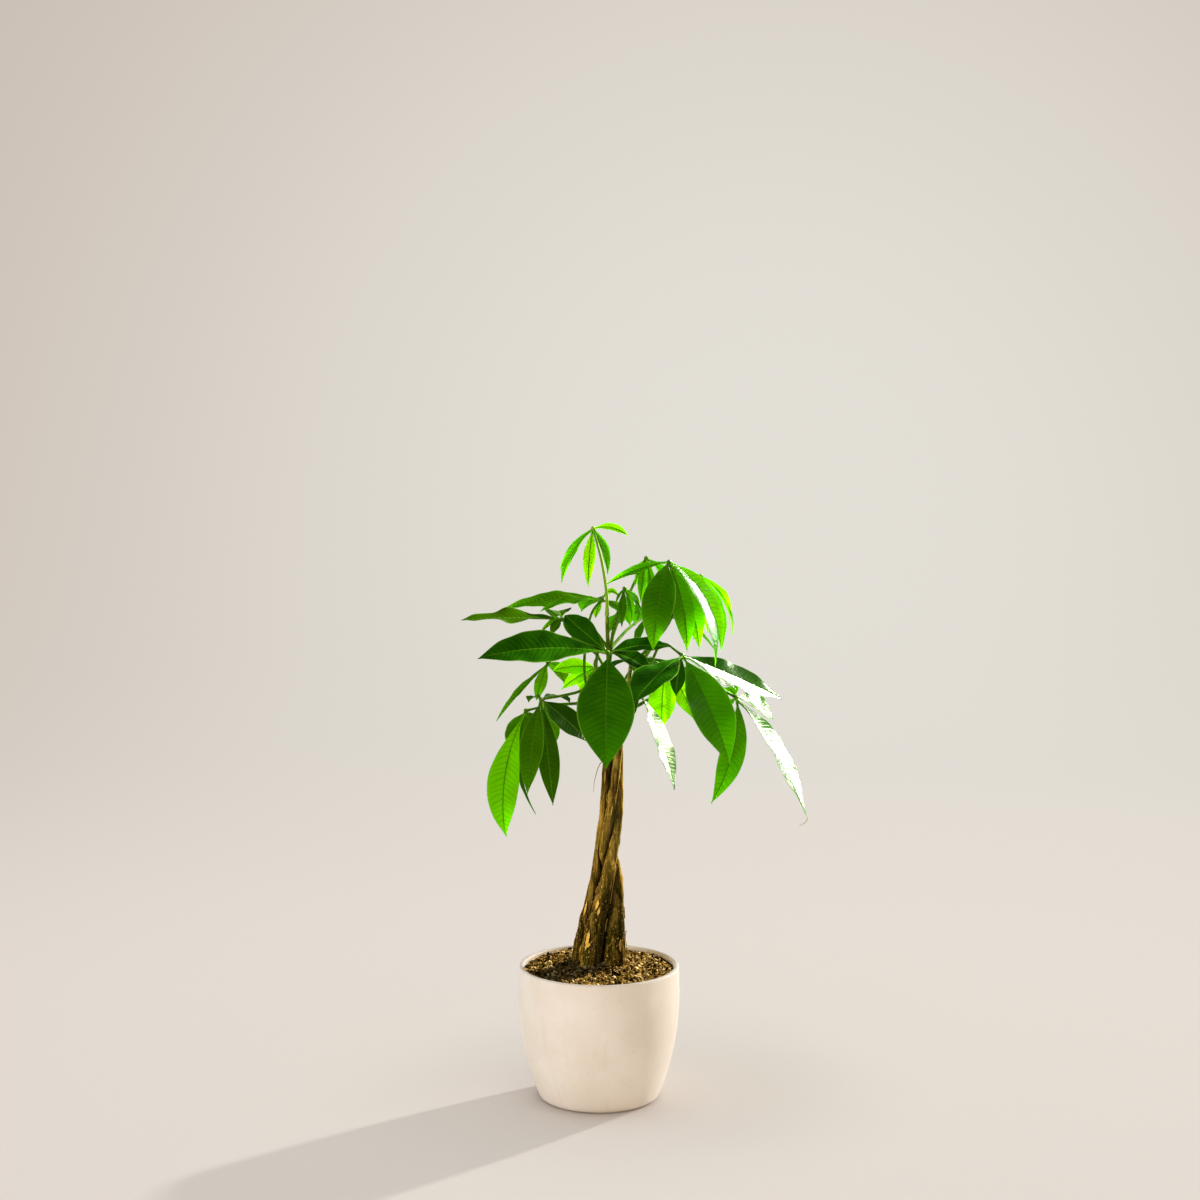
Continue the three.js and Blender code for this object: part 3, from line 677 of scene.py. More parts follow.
def make_soil():
    low = FLOOR + PIECE_GAP
    side = [(float(pot_radius(z)) - WALL - PIECE_GAP, z) for z in np.linspace(low, SOIL_SIDE_TOP, 14)]
    radii = SOIL_RADIUS * (1 - np.linspace(0, 1, SOIL_RINGS + 1)[:-1]) ** 0.9
    profile = [(0, low)] + side + [(r, SOIL_EDGE) for r in radii] + [(0, SOIL_EDGE)]
    points, faces = turned(profile, SOIL_SIDES)
    upper = points[:, 2] > SOIL_EDGE - 0.5
    points[upper, 2] = soil_top(points[upper, 0], points[upper, 1])
    draw = np.random.default_rng(SEED)
    build = Build()
    build.add(points, faces, tone=0.4, crumb=0)
    add_crumbs(build, draw)
    add_fibres(build, draw)
    return build.piece("soil_surface", [soil_finish()], ["soil"], "soil", crease=70)


# Trunks and shoots


def trunk_lines():
    heights = TRUNK_FOOT + LEVEL_STEP * LEVELS
    return {name: spline(np.column_stack([centres, heights]), 0) for name, centres in TRUNKS.items()}


def trunk_at(lines, name, z):
    level = (np.asarray(z, float) - TRUNK_FOOT) / LEVEL_STEP
    radius = np.interp(level, LEVELS, TRUNK_RADII) * TRUNK_GIRTHS[name]
    return lines[name](np.clip(level / LEVELS[-1], 0, 1))[:, :2], radius


def trunk_rings(lines, name, heights):
    """Each ring is round, but pressed flat where the trunk meets another."""
    centre, radius = trunk_at(lines, name, heights)
    turns = circle(TRUNK_SIDES)
    ways = np.stack([np.cos(turns), np.sin(turns)], axis=1)
    reach = np.repeat(radius[:, None], TRUNK_SIDES, axis=1)
    for other in TRUNKS:
        if other == name:
            continue
        other_centre, other_radius = trunk_at(lines, other, heights)
        between = other_centre - centre
        apart = np.linalg.norm(between, axis=1)[:, None]
        facing = (between @ ways.T) / apart
        border = (apart**2 + radius[:, None] ** 2 - other_radius[:, None] ** 2) / (2 * apart) - SEAM / 2
        reach = np.where(facing > 0, np.minimum(reach, border / np.maximum(facing, 1e-6)), reach)
    for _ in range(ROUND_PASSES):
        softer = (np.roll(reach, 1, axis=1) + 2 * reach + np.roll(reach, -1, axis=1)) / 4
        reach = np.minimum(reach, softer)
    return centre, radius, ways, reach


def add_shard(build, lines, name, height, turn, wide, tall):
    """A curled flake of bark that stands a little off the trunk, ragged at its ends."""
    rows, columns = 17, 7
    share = np.linspace(-1, 1, rows)
    heights = height + share * tall / 2
    centre, radius = trunk_at(lines, name, heights)
    across = np.linspace(-1, 1, columns)
    places = np.column_stack([heights, heights * 0, heights * 0 + turn])
    widths = [1 - np.abs(share) ** 1.6 + 0.5 * noise_of(places + shift, 1.4) for shift in (0, 40)]
    widths = np.where(across < 0, *(np.clip(width, 0.05, 1.3)[:, None] for width in widths))
    spread = widths * wide / 2 * across / radius[:, None]
    angle = math.radians(turn) + spread
    lift = 0.7 + 0.8 * share[:, None] ** 2 + 0.3 * across**2
    sheets = []
    for thick in (0, SHARD_THICK):
        reach = radius[:, None] + lift - thick
        x = centre[:, :1] + reach * np.cos(angle)
        y = centre[:, 1:] + reach * np.sin(angle)
        sheets.append(np.stack([x, y, heights[:, None] + 0 * x], axis=-1))
    build.add(sheets, sheet_faces(rows, columns), flake=1, crack=0, free=1, fresh=0, shard=1)


def make_trunk(lines, name, order):
    steps = round((TRUNK_TOP - TRUNK_FOOT) / TRUNK_STEP)
    heights = np.linspace(TRUNK_FOOT, TRUNK_TOP, steps + 1)
    centre, radius, ways, reach = trunk_rings(lines, name, heights)
    free = smooth_step(0.8, 1, reach / radius[:, None])
    places = np.zeros((len(heights), TRUNK_SIDES, 3))
    places[..., :2] = centre[:, None] + ways[None] * reach[..., None]
    places[..., 2] = heights[:, None]
    shift = np.array([37.0 * order, 0, 0])
    stretched = places * (1, 1, 0.16) + shift
    patches = places * (1, 1, 0.45) + shift
    grain = noise_of(stretched, 1.6)
    fissure = 1 - np.abs(noise_of(stretched, 3.4))
    fissure = smooth_step(0.90, 0.99, fissure)
    flake = smooth_step(0.20, 0.30, noise_of(patches, 5) + 0.35 * noise_of(patches, 1.6))
    bands = smooth_step(0.55, 0.95, np.sin(heights * 0.21 + 2 * order))[:, None] * 0.5
    bands = bands * (0.6 + 0.4 * noise_of(places * (0.3, 0.3, 1), 9))
    swell = noise_of(places + shift, 15) * 0.5
    bumps = 0.3 * grain - 0.5 * fissure + 0.3 * flake + bands + swell - 0.2
    depth = bumps * (0.25 + 0.75 * free) * np.clip(radius[:, None] / 8, 0.45, 1)
    depth = np.where(free > 0.5, depth, np.minimum(depth, 0.15))
    places[..., :2] += ways[None] * depth[..., None]
    build = Build()
    # Paler young bark above, darker old bark below: partly real, partly painted shade low on the trunk
    fresh = smooth_step(*FRESH_AND_LIT_BARK, places[..., 2])
    faces = tube_faces(len(heights), TRUNK_SIDES)
    build.add(places, faces, flake=flake, crack=fissure, free=free, fresh=fresh, shard=0)
    for shard in SHARDS[name]:
        add_shard(build, lines, name, *shard)
    for line in THREADS.get(name, []):
        radii = np.linspace(*THREAD_RADII, THREAD_STEPS + 1)
        points, faces = tube(even_points(spline(line, 0.5), THREAD_STEPS), radii, 5)
        build.add(points, faces, flake=1, crack=0, free=1, fresh=0.5, shard=0.5)
    return build.piece(f"bark_{name}", [bark_finish()], [f"trunk_{name}"], "bark")


def shoot_line(lines, name):
    centre, _ = trunk_at(lines, name, [TRUNK_TOP])
    x, y = centre[0]
    foot = TRUNK_TOP + PIECE_GAP
    return spline([(x, y, foot), (x, y, foot + SHOOT_UPRIGHT), *SHOOTS[name]], 0.5)


def shoot_point(lines, name, z):
    points = even_points(shoot_line(lines, name), 60)
    return points[np.argmin(np.abs(points[:, 2] - z))]


def make_shoot(lines, name, order):
    line = even_points(shoot_line(lines, name), SHOOT_STEPS)
    share = np.linspace(0, 1, SHOOT_STEPS + 1)
    radii = np.interp(share, [0, 1], SHOOT_RADII)
    rings = 0.35 * np.exp(-(((share * 9 + 0.3 * order) % 1 - 0.5) / 0.07) ** 2)
    collar = np.exp(-((share * np.linalg.norm(line[-1] - line[0]) - COLLAR_HEIGHT) / 2.2) ** 2)
    bud = np.sqrt(np.clip(1 - (np.maximum(share - 0.95, 0) / 0.05) ** 2, 0.01, 1))
    radii = (radii + rings - 0.25 * share + COLLAR * collar) * bud
    rings = np.maximum(rings, 0.35 * collar)
    points, faces = tube(line, radii, SHOOT_SIDES)
    bumps = 0.25 * noise_of(points * (1, 1, 0.3) + 20 * order, 2)[..., None]
    points = points + bumps * unit(points - line[:, None])
    build = Build()
    ring = np.repeat(rings / 0.35, SHOOT_SIDES)
    age = np.repeat(1 - share, SHOOT_SIDES)
    build.add(points, faces, ring=ring, age=age)
    return build.piece(f"stem_{name}", [shoot_finish()], [f"shoot_{name}"], "shoot")


# Leaves


def leaflet_curve(hub, leaflet):
    hub = np.array(hub, float)
    reach = np.array(leaflet["tip"], float)
    length = np.linalg.norm(reach)
    level = unit(np.array([reach[1], -reach[0], 0]))
    outward = unit(np.cross(level, reach))
    bow = np.array(leaflet["bow"] or outward * ARCH * length, float) * 4 / 3
    face = np.array(leaflet["face"] or outward, float)
    knots = [hub, hub + BEND_START * reach + bow, hub + (1 - BEND_START) * reach + bow, hub + reach]
    return knots, face, length


def bezier(knots, shares):
    a, b, c, d = knots
    t = shares[:, None]
    place = a * (1 - t) ** 3 + 3 * b * t * (1 - t) ** 2 + 3 * c * t**2 * (1 - t) + d * t**3
    way = (b - a) * (1 - t) ** 2 + 2 * (c - b) * t * (1 - t) + (d - c) * t**2
    return place, unit(way)


def blade_outline(shares, widest):
    along = np.clip((shares - STALK_SHARE) / (1 - STALK_SHARE), 0, 1)
    return np.sin(math.pi * along**widest) * (1 - 0.42 * along**9) * (1 - 0.25 * (1 - along) ** 9)


def across_places(half, midrib):
    """Signed places across the blade for each row, with two columns at the midrib's edges."""
    inner = np.minimum(midrib, 0.35 * half)[:, None]
    steps = np.linspace(0, 1, HALF_COLUMNS)[None]
    right = inner + (half[:, None] - inner) * steps
    return np.hstack([-right[:, ::-1], np.zeros_like(inner), right])


def add_leaflet(build, hub, leaflet, width, tone, glow, tip_glow, olive, slot, draw):
    knots, face, length = leaflet_curve(hub, leaflet)
    spacing = VEIN_GAP + VEIN_GAP_GROWTH * length
    rows = round(length * ROWS_PER_VEIN / spacing)
    shares = np.linspace(0, 1, rows + 1)
    place, way = bezier(knots, shares)
    side = unit(np.cross(way, face))
    normal = np.cross(side, way)
    outline = blade_outline(shares, leaflet["widest"])
    floor = np.where(shares < 0.5, STALK_HALF_WIDTH, TIP_HALF_WIDTH + 0.5 * (1 - shares))
    half = np.maximum(length * width / 2 * outline, floor)
    x = across_places(half, 1.1 * (1 - 0.6 * shares))
    u = x / half[:, None]
    size = np.abs(u)
    run = (shares * length)[:, None]
    phases = draw.uniform(0, 7, 4)
    wave = leaflet["wave"] * width * length * np.sin(2 * math.pi * WAVES * shares) * outline
    ruffle = 0.012 * width * length * outline[:, None] * size**3
    ruffle = ruffle * np.sin(run / length * 36 + np.where(u > 0, phases[0], phases[1]))
    vein = (run - 0.32 * np.abs(x) - 0.22 * x**2 / half[:, None]) / spacing
    vein = vein + 0.16 * np.sin(run / spacing * 1.7 + np.sign(u) * 2 + phases[3])
    body = smooth_step(0.08, 0.2, shares)[:, None] * smooth_step(0.04, 0.2, size)
    quilt = 0.034 * spacing * -np.cos(2 * math.pi * vein) * (1 - size**4) * body
    fold = half[:, None] * math.sin(FOLD) * size**1.2
    slow = 0.01 * length * np.sin(shares * 5 + phases[2])[:, None] * np.sin(math.pi * shares)[:, None] * size
    lift = fold + np.sign(u) * wave[:, None] * size**1.3 + ruffle + quilt + slow
    lift = lift - 0.22 * np.exp(-((x / 0.7) ** 2)) * body[:, :1]
    top = place[:, None] + side[:, None] * (x * math.cos(FOLD))[..., None] + normal[:, None] * lift[..., None]
    down = unit(np.cross(np.gradient(top, axis=1), np.gradient(top, axis=0)))
    down = np.where((down * normal[:, None]).sum(-1, keepdims=True) > 0, -down, down)
    stalk = 1.3 * (1 - smooth_step(0.02, 0.14, shares))[:, None]
    rib = 0.95 * (1 - 0.75 * shares)[:, None] * np.exp(-((x / 0.8) ** 2))
    thick = BLADE_THICK * (1 - 0.35 * size**4) * (1 - 0.4 * shares[:, None] ** 6) + stalk + rib
    under = top + down * thick[..., None]
    shine = np.minimum(glow + tip_glow * smooth_step(0.5, 1, shares), max(glow, 0.9))[:, None]
    given = dict(
        vein=vein, rib=np.abs(x), side=size, along=shares[:, None], tone=tone, glow=shine, olive=olive
    )
    values = {name: np.broadcast_to(value, (2, *x.shape)) for name, value in given.items()}
    build.add([top, under], sheet_faces(*x.shape), slot, **values)


def make_leaf(lines, name, leaf, order):
    draw = np.random.default_rng(SEED + 10 * order)
    build = Build()
    for number, leaflet in enumerate(leaf["leaflets"], 1):
        width = leaflet["width"] or leaf["width"]
        glow = GLOWS[name].get(number, GLOWS[name].get(0))
        # The base colour follows the glow: painted light and shade, with a little random tone
        tone = glow * 0.8 + draw.uniform(-0.08, 0.08)
        slot = 2 if number in SHINY.get(name, []) else 0
        tip_glow = TIP_GLOWS.get(name, 0.05 + 0.4 * glow)
        add_leaflet(build, leaf["hub"], leaflet, width, tone, glow, tip_glow, OLIVE.get(name, 0), slot, draw)
    shoot, height = leaf["stem"]
    curve = spline([shoot_point(lines, shoot, height), *leaf["through"], leaf["hub"]], 0.5)
    share = np.linspace(0, 1, PETIOLE_STEPS + 1)
    radii = np.interp(share, [0, 1], PETIOLE_RADII)
    radii = radii + 0.6 * np.exp(-((share / 0.06) ** 2)) + 0.7 * np.exp(-(((1 - share) / 0.05) ** 2))
    points, faces = tube(even_points(curve, PETIOLE_STEPS), radii, PETIOLE_SIDES)
    young = YOUNG_STALKS.get(name, 0)
    build.add(points, faces, slot=1, tone=young)
    points, faces = ball(leaf["hub"], HUB_RADIUS, 0.12)
    build.add(points, faces, slot=1, tone=young)
    for start, *bends in TAILS.get(name, []):
        end = np.array(leaf["hub"]) + leaf["leaflets"][start]["tip"]
        line = even_points(spline([end, *(end + bend for bend in bends)], 0.5), TAIL_STEPS)
        points, faces = tube(line, np.linspace(*TAIL_RADII, TAIL_STEPS + 1), 6)
        build.add(points, faces, slot=3)
    materials = [blade_finish(), stalk_finish()]
    if name in SHINY:
        materials.append(glossy_finish())
    if name in TAILS:
        materials.append(tail_finish())
    return build.piece(f"foliage_{name}", materials, [f"leaf_{name}"], "leaf", crease=60)


# Finishes


class Finish:
    """A material and the nodes that are added to it."""

    def __init__(self, name):
        self.material = bpy.data.materials.new(name)
        self.material.use_nodes = True
        self.tree = self.material.node_tree
        self.tree.nodes.clear()

    def add(self, kind, inputs=None, **settings):
        node = self.tree.nodes.new(kind)
        for key, value in settings.items():
            setattr(node, key, value)
        for key, value in (inputs or {}).items():
            self.feed(node.inputs[key], value)
        return node

    def feed(self, socket, value):
        """Links a socket to an output, or gives it a constant. A colour gets its alpha here."""
        if isinstance(value, bpy.types.NodeSocket):
            self.tree.links.new(value, socket)
        elif socket.type == "RGBA":
            socket.default_value = (*value, 1)
        else:
            socket.default_value = value

    def value(self, name):
        return self.add("ShaderNodeAttribute", attribute_name=name).outputs["Fac"]

    def math(self, operation, *values):
        return self.add("ShaderNodeMath", dict(enumerate(values)), operation=operation).outputs[0]

    def vector(self, operation, *values):
        return self.add("ShaderNodeVectorMath", dict(enumerate(values)), operation=operation).outputs

    def times(self, first, second):
        return self.math("MULTIPLY", first, second)

    def step(self, value, low, high, start=0, end=1):
        """A smooth change from start to end as value goes from low to high."""
        inputs = {"Value": value, "From Min": low, "From Max": high, "To Min": start, "To Max": end}
        return self.add("ShaderNodeMapRange", inputs, interpolation_type="SMOOTHSTEP").outputs["Result"]

    def mix(self, share, first, second):
        return self.add("ShaderNodeMix", {0: share, 6: first, 7: second}, data_type="RGBA").outputs[2]

    def noise(self, scale, detail, stretch=None):
        place = self.add("ShaderNodeTexCoord").outputs["Object"]
        if stretch:
            place = self.add("ShaderNodeMapping", {"Vector": place, "Scale": stretch}).outputs[0]
        inputs = {"Vector": place, "Scale": scale, "Detail": detail}
        return self.add("ShaderNodeTexNoise", inputs).outputs["Fac"]

    def bump(self, height, distance, strength):
        inputs = {"Height": height, "Distance": distance, "Strength": strength}
        return self.add("ShaderNodeBump", inputs).outputs[0]

    def shader(self, colour, rough, gloss, **others):
        inputs = {"Base Color": colour, "Roughness": rough, "Specular IOR Level": gloss, **others}
        return self.add("ShaderNodeBsdfPrincipled", inputs).outputs[0]

    def close(self, shader):
        self.add("ShaderNodeOutputMaterial", {"Surface": shader})
        return self.material


def pot_finish():
    f = Finish("pot_ceramic")
    cloud = f.noise(18, 4)
    speck = f.noise(420, 2)
    streak = f.noise(60, 3, (1, 1, 0.2))
    colour = f.mix(f.step(cloud, 0.35, 0.7), (0.80, 0.725, 0.63), (0.86, 0.80, 0.72))
    colour = f.mix(f.step(speck, 0.6, 0.75, 0, 0.3), colour, (0.66, 0.54, 0.40))
    colour = f.mix(f.step(streak, 0.52, 0.75, 0, 0.4), colour, (0.74, 0.64, 0.52))
    normal = f.bump(f.math("ADD", f.times(speck, 0.4), cloud), 0.0006, 0.35)
    return f.close(f.shader(colour, f.step(speck, 0.3, 0.7, 0.5, 0.62), 0.35, Normal=normal))


def soil_finish():
    f = Finish("soil_earth")
    tone = f.value("tone")
    crumb = f.value("crumb")
    coarse = f.noise(130, 5)
    fine = f.noise(700, 3)
    shade = f.math("ADD", f.times(tone, crumb), f.times(coarse, f.math("SUBTRACT", 1, crumb)))
    shade = f.math("ADD", shade, f.times(f.math("SUBTRACT", fine, 0.5), 0.5))
    ramp = f.add("ShaderNodeValToRGB", {"Fac": shade})
    stops = ramp.color_ramp.elements
    stops.new(0.5)
    stops.new(0.75)
    stops[0].position = 0.25
    for stop, colour in zip(stops, SOIL_COLOURS):
        stop.color = (*colour, 1)
    return f.close(f.shader(ramp.outputs[0], 0.9, 0, Normal=f.bump(fine, 0.0008, 0.7)))


@cache
def bark_finish():
    f = Finish("bark_flaking")
    grain = f.noise(460, 4, (1, 1, 0.1))
    cloud = f.noise(75, 4, (1, 1, 0.3))
    patch = f.noise(55, 2, (1, 1, 0.25))
    pore = f.noise(520, 2, (1, 1, 0.8))
    streak = f.noise(230, 3, (1, 1, 0.06))
    fresh = f.value("fresh")
    depth = f.step(fresh, 0, 1, 0.35, 0.8)

    def lay(share, colour, old_and_shaded, young):
        return f.mix(share, colour, f.mix(fresh, old_and_shaded, young))

    # Old bark below is darker and young bark above paler: partly real, partly painted shade on the lower
    # trunk
    old_and_shaded = f.mix(f.step(cloud, 0.38, 0.62), (0.0075, 0.005, 0.0009), (0.028, 0.0175, 0.003))
    old_and_shaded = f.mix(f.step(patch, 0.45, 0.6, 0, 0.6), old_and_shaded, (0.021, 0.0225, 0.002))
    young = f.mix(f.step(cloud, 0.36, 0.64), (0.078, 0.051, 0.008), (0.17, 0.12, 0.02))
    colour = f.mix(fresh, old_and_shaded, young)
    light_streak = f.times(depth, f.step(streak, 0.52, 0.66))
    dark_streak = f.times(depth, f.step(streak, 0.46, 0.34))
    colour = lay(light_streak, colour, (0.20, 0.135, 0.029), (0.28, 0.20, 0.045))
    colour = lay(dark_streak, colour, (0.008, 0.005, 0.0006), (0.021, 0.013, 0.0018))
    colour = lay(f.step(grain, 0.5, 0.66, 0, 0.6), colour, (0.13, 0.084, 0.018), (0.22, 0.15, 0.033))
    colour = lay(f.step(grain, 0.46, 0.34, 0, 0.6), colour, (0.009, 0.006, 0.0006), (0.024, 0.016, 0.0024))
    flake = f.times(f.value("flake"), f.step(grain, 0.4, 0.6, 0.1, 0.7))
    colour = lay(flake, colour, (0.14, 0.078, 0.014), (0.24, 0.13, 0.023))
    colour = f.mix(f.step(pore, 0.62, 0.70, 0, 0.8), colour, (0.36, 0.26, 0.085))
    # Painted shade: the fissures are drawn near black
    colour = f.mix(f.times(f.value("crack"), 0.7), colour, (0.006, 0.003, 0.0006))
    # Loose flakes are pale: partly their own colour, partly painted highlight
    colour = f.mix(f.value("shard"), colour, (0.42, 0.27, 0.06))
    # Painted shade: the bark is darker where the trunks press together
    painted_seam_shade = f.step(f.value("free"), 0.95, 0.2, 0, 0.9)
    colour = lay(painted_seam_shade, colour, (0.004, 0.0025, 0.0004), (0.016, 0.0105, 0.0015))
    height = f.math("ADD", f.times(grain, 0.7), f.times(pore, 0.3))
    rough = f.step(grain, 0.3, 0.7, 0.8, 0.6)
    return f.close(f.shader(colour, rough, 0, Normal=f.bump(height, 0.0009, 0.9)))


@cache
def shoot_finish():
    f = Finish("shoot_green")
    grain = f.noise(380, 3, (1, 1, 0.15))
    cloud = f.noise(90, 3, (1, 1, 0.3))
    age = f.value("age")
    colour = f.mix(f.step(cloud, 0.35, 0.65), (0.045, 0.13, 0.006), (0.13, 0.26, 0.012))
    colour = f.mix(f.times(age, 0.75), colour, (0.16, 0.12, 0.02))
    colour = f.mix(f.step(grain, 0.5, 0.7, 0, 0.5), colour, (0.28, 0.22, 0.05))
    colour = f.mix(f.times(f.value("ring"), 0.8), colour, (0.36, 0.33, 0.04))
    return f.close(f.shader(colour, 0.55, 0.06, Normal=f.bump(grain, 0.0004, 0.6)))


@cache
def stalk_finish():
    f = Finish("stalk_green")
    grain = f.noise(300, 3)
    colour = f.mix(f.step(grain, 0.35, 0.65), (0.05, 0.16, 0.004), (0.16, 0.36, 0.010))
    colour = f.mix(f.value("tone"), colour, (0.42, 0.68, 0.05))
    return f.close(f.shader(colour, 0.42, 0.06, Normal=f.bump(grain, 0.0002, 0.4)))


def leaf_finish(name, gloss, rough):
    f = Finish(name)
    tone = f.value("tone")
    side = f.value("side")
    turn = f.math("ABSOLUTE", f.math("SUBTRACT", f.math("FRACT", f.math("ADD", f.value("vein"), 0.5)), 0.5))
    lateral = f.times(f.step(turn, 0.17, 0.02), f.step(side, 0.97, 0.6))
    mid = f.times(f.step(f.value("rib"), 0.8, 0.3), f.step(f.value("along"), 1, 0.85))
    cloud = f.noise(40, 3)
    net = f.noise(900, 2)
    patch = f.step(cloud, 0.35, 0.65)
    dark = f.mix(patch, (0.008, 0.074, 0.0006), (0.021, 0.140, 0.0010))
    light = f.mix(patch, (0.06, 0.28, 0.001), (0.10, 0.40, 0.002))
    # Lighter for sunlit leaflets and darker for shaded ones: painted light and shade, with a little random
    # tone
    colour = f.mix(tone, dark, light)
    olive = f.value("olive")
    colour = f.mix(olive, colour, f.mix(tone, (0.040, 0.090, 0.0005), (0.16, 0.30, 0.002)))
    colour = f.mix(f.step(net, 0.55, 0.7, 0, 0.15), colour, (0.006, 0.045, 0.0003))
    colour = f.mix(f.times(lateral, 0.5), colour, (0.004, 0.035, 0.0003))
    colour = f.mix(f.times(mid, 0.75), colour, (0.12, 0.34, 0.012))
    # Painted highlight: the leaflet's margin is paler all round, for a sunlit rim
    colour = f.mix(f.step(side, 0.93, 1, 0, 0.7), colour, (0.30, 0.60, 0.05))
    glow = f.value("glow")
    through = f.mix(glow, (0.13, 0.50, 0.0005), (0.42, 1, 0.003))
    through = f.mix(f.step(glow, 0.8, 0.96), through, (0.54, 1, 0.003))
    through = f.mix(f.step(cloud, 0.35, 0.65, 0.35, 0), through, (0.20, 0.70, 0.001))
    through = f.mix(f.times(olive, 0.6), through, (0.24, 0.46, 0.001))
    through = f.mix(f.times(lateral, 0.35), through, (0.07, 0.30, 0.001))
    through = f.mix(f.times(mid, 0.8), through, (0.05, 0.20, 0.001))
    crest = f.times(f.step(turn, 0.26, 0), f.step(side, 0.99, 0.6))
    height = f.math("ADD", f.times(net, 0.12), crest)
    others = {"Specular Tint": SHEEN, "Normal": f.bump(height, 0.0005, 0.5)}
    face = f.shader(colour, f.step(net, 0.3, 0.7, rough - 0.03, rough + 0.03), gloss, **others)
    back = f.add("ShaderNodeBsdfTranslucent", {"Color": through}).outputs[0]
    return f.close(f.add("ShaderNodeMixShader", {0: glow, 1: face, 2: back}).outputs[0])


@cache
def blade_finish():
    return leaf_finish("leaf_blade", 0.005, 0.42)


@cache
def glossy_finish():
    return leaf_finish("leaf_glossy", 0.2, 0.21)


def tail_finish():
    f = Finish("leaf_tail")
    return f.close(f.shader((0.50, 0.62, 0.12), 0.6, 0.2))


# Studio


def stage_finish():
    """A pale studio paper: lit like a floor near the pot; further out it glows by itself as painted light,
    fading to a darker dusk colour away from the glow's centre as painted shade.
    """
    f = Finish("studio")
    place = f.add("ShaderNodeNewGeometry").outputs["Position"]
    # Painted light: the far paper glows by itself, with painted shade that darkens it away from the glow's
    # centre
    squeezed = f.vector("MULTIPLY", place, GLOW_SQUEEZE)["Vector"]
    apart = f.vector("DISTANCE", squeezed, GLOW_CENTRE)["Value"]
    glow = f.mix(f.step(apart, *GLOW_REACH), GLOW_COLOUR, DUSK_COLOUR)
    paper = f.shader(FLOOR_COLOUR, 0.9, 0)
    shine = f.add("ShaderNodeEmission", {"Color": glow}).outputs[0]
    away = f.vector("LENGTH", place)["Value"]
    mixed = f.add("ShaderNodeMixShader", {0: f.step(away, *FLOOR_FADE), 1: paper, 2: shine})
    return f.close(mixed.outputs[0])


def make_stage():
    flat = [(r, 0) for r in np.linspace(0, FLOOR_REACH, 8)]
    upright = [*arc(FLOOR_REACH, BEND, BEND, -90, 0, BEND_STEPS), (FLOOR_REACH + BEND, WALL_TOP)]
    finish = stage_finish()
    made = []
    for name, profile in (("floor", flat), ("wall", upright)):
        points = [(r * math.cos(a), r * math.sin(a), z) for r, z in profile for a in circle(STAGE_SIDES)]
        mesh = bpy.data.meshes.new(name)
        faces = [face[::-1] for face in grid_faces(len(profile), STAGE_SIDES, wrap=True)]
        mesh.from_pydata(points, [], faces)
        mesh.shade_smooth()
        mesh.materials.append(finish)
        piece = put(name, mesh)
        made.append(piece)
    for ray in ("diffuse", "glossy", "shadow", "transmission"):
        setattr(made[-1], f"visible_{ray}", False)
    return made


def add_light(name, azimuth, elevation, distance, size, strength, colour, lit):
    """A round soft light that gives the pieces in lit an irradiance of strength."""
    data = bpy.data.lights.new(name, "AREA")
    data.shape = "DISK"
    data.size = size
    data.energy = strength * math.pi * distance**2
    data.color = colour
    lamp = put(name, data)
    turn, rise = math.radians(azimuth), math.radians(elevation)
    way = Vector((math.cos(turn) * math.cos(rise), math.sin(turn) * math.cos(rise), math.sin(rise)))
    lamp.location = Vector(LIGHT_TARGET) + way * distance
    lamp.rotation_euler = way.to_track_quat("Z", "Y").to_euler()
    receivers = bpy.data.collections.new(f"lit_by_{name}")
    for piece in lit:
        receivers.objects.link(piece)
    lamp.light_linking.receiver_collection = receivers
    return lamp


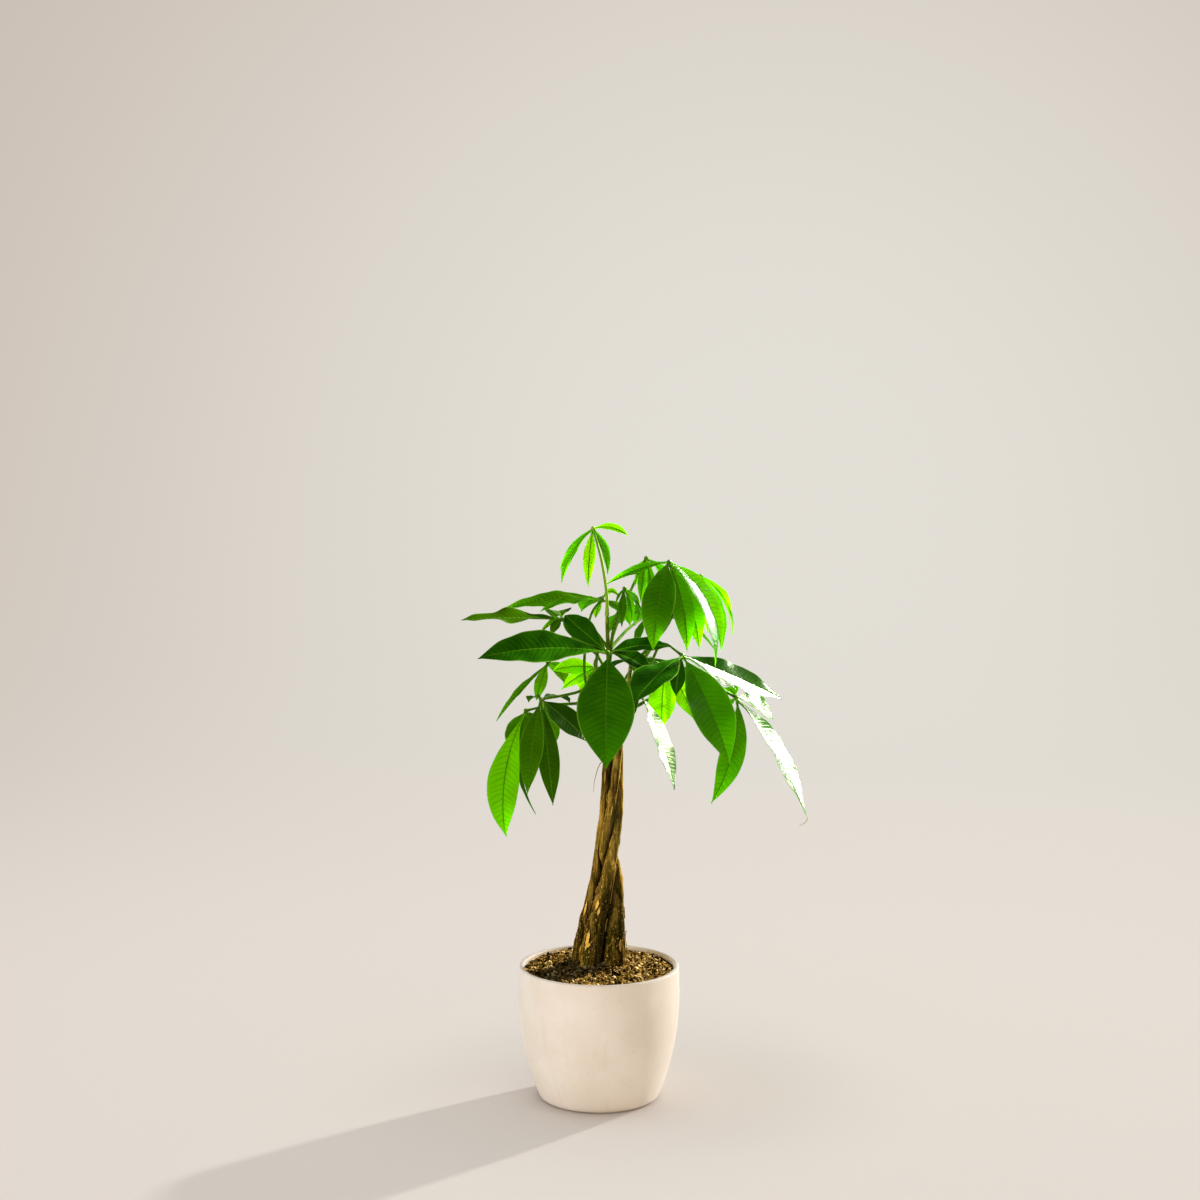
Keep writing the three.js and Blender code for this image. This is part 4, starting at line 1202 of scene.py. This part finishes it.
def make_lights(plant, pot, stage):
    world = bpy.data.worlds.new("studio_air")
    world.use_nodes = True
    air = world.node_tree.nodes["Background"]
    air.inputs["Color"].default_value = AIR_COLOUR
    air.inputs["Strength"].default_value = AIR_STRENGTH
    bpy.context.scene.world = world
    kinds = ("soil", "bark", "stem", "foliage")
    soil, wood, stems, leaves = ([piece for piece in plant if piece.name.startswith(kind)] for kind in kinds)
    glossy = [piece for piece in leaves if piece.name.removeprefix("foliage_") in SHINY]
    inner = [piece for piece in glossy if piece.name == "foliage_low_inner"]
    outer = [piece for piece in glossy if piece not in inner]
    add_light("sun_leaf", 35, 35, 3, 0.3, 10, WARM, leaves + stems)
    through = add_light("sun_through", 80, 15, 3, 0.3, 1.05, WARM, leaves)
    through.data.use_shadow = False
    add_light("sun_wood", 39, 25, 3, 0.3, 27, AMBER, wood)
    add_light("rim_wood", 132, 20, 3, 0.4, 6, AMBER, wood)
    add_light("sun_soil", 42, 33, 3, 0.3, 22, HONEY, soil)
    add_light("sun_pot", 34, 16, 3, 0.3, 3.7, PALE, pot)
    add_light("sun_floor", 42, 17, 14, 0.6, 1.9, PALE, stage)
    add_light("fill_leaf", 215, 30, 2.5, 1.2, 0.5, PALE, leaves)
    add_light("fill_wood", 208, 15, 2.5, 0.9, 6.4, GOLDEN, wood + stems)
    add_light("fill_pot", 205, 14, 3, 2.4, 1.8, CREAM, pot)
    add_light("fill_warm", 292, 0, 3, 2, 1.1, PEACH, pot)
    add_light("fill_floor", 90, 88, 6, 5, 1.85, PALE, stage)
    glints = [
        add_light("glint", 30, 25, 3, 1.8, 54, ROSY, outer),
        add_light("glint_inner", 17, 16, 3, 2.1, 70, ROSY, inner),
    ]
    for glint in glints:
        glint.visible_diffuse = False
        glint.visible_transmission = False
        glint.data.use_shadow = False
    bpy.context.scene.view_settings.view_transform = "Standard"


def make_camera():
    data = bpy.data.cameras.new("camera")
    data.sensor_width = SENSOR
    data.lens = FOCAL_LENGTH
    data.clip_end = CLIP_END
    camera = put("camera", data)
    camera.location = CAMERA_PLACE
    camera.rotation_euler = (math.radians(90 - CAMERA_PITCH), 0, 0)
    bpy.context.scene.camera = camera


trunk_curves = trunk_lines()
make_camera()
stage_pieces = make_stage()
pot_pieces = [make_pot()]
plant_pieces = [make_soil()]
for order, name in enumerate(TRUNKS):
    plant_pieces.append(make_trunk(trunk_curves, name, order))
    plant_pieces.append(make_shoot(trunk_curves, name, order))
for order, (name, leaf) in enumerate(LEAVES.items()):
    plant_pieces.append(make_leaf(trunk_curves, name, leaf, order))
make_lights(plant_pieces, pot_pieces, stage_pieces)
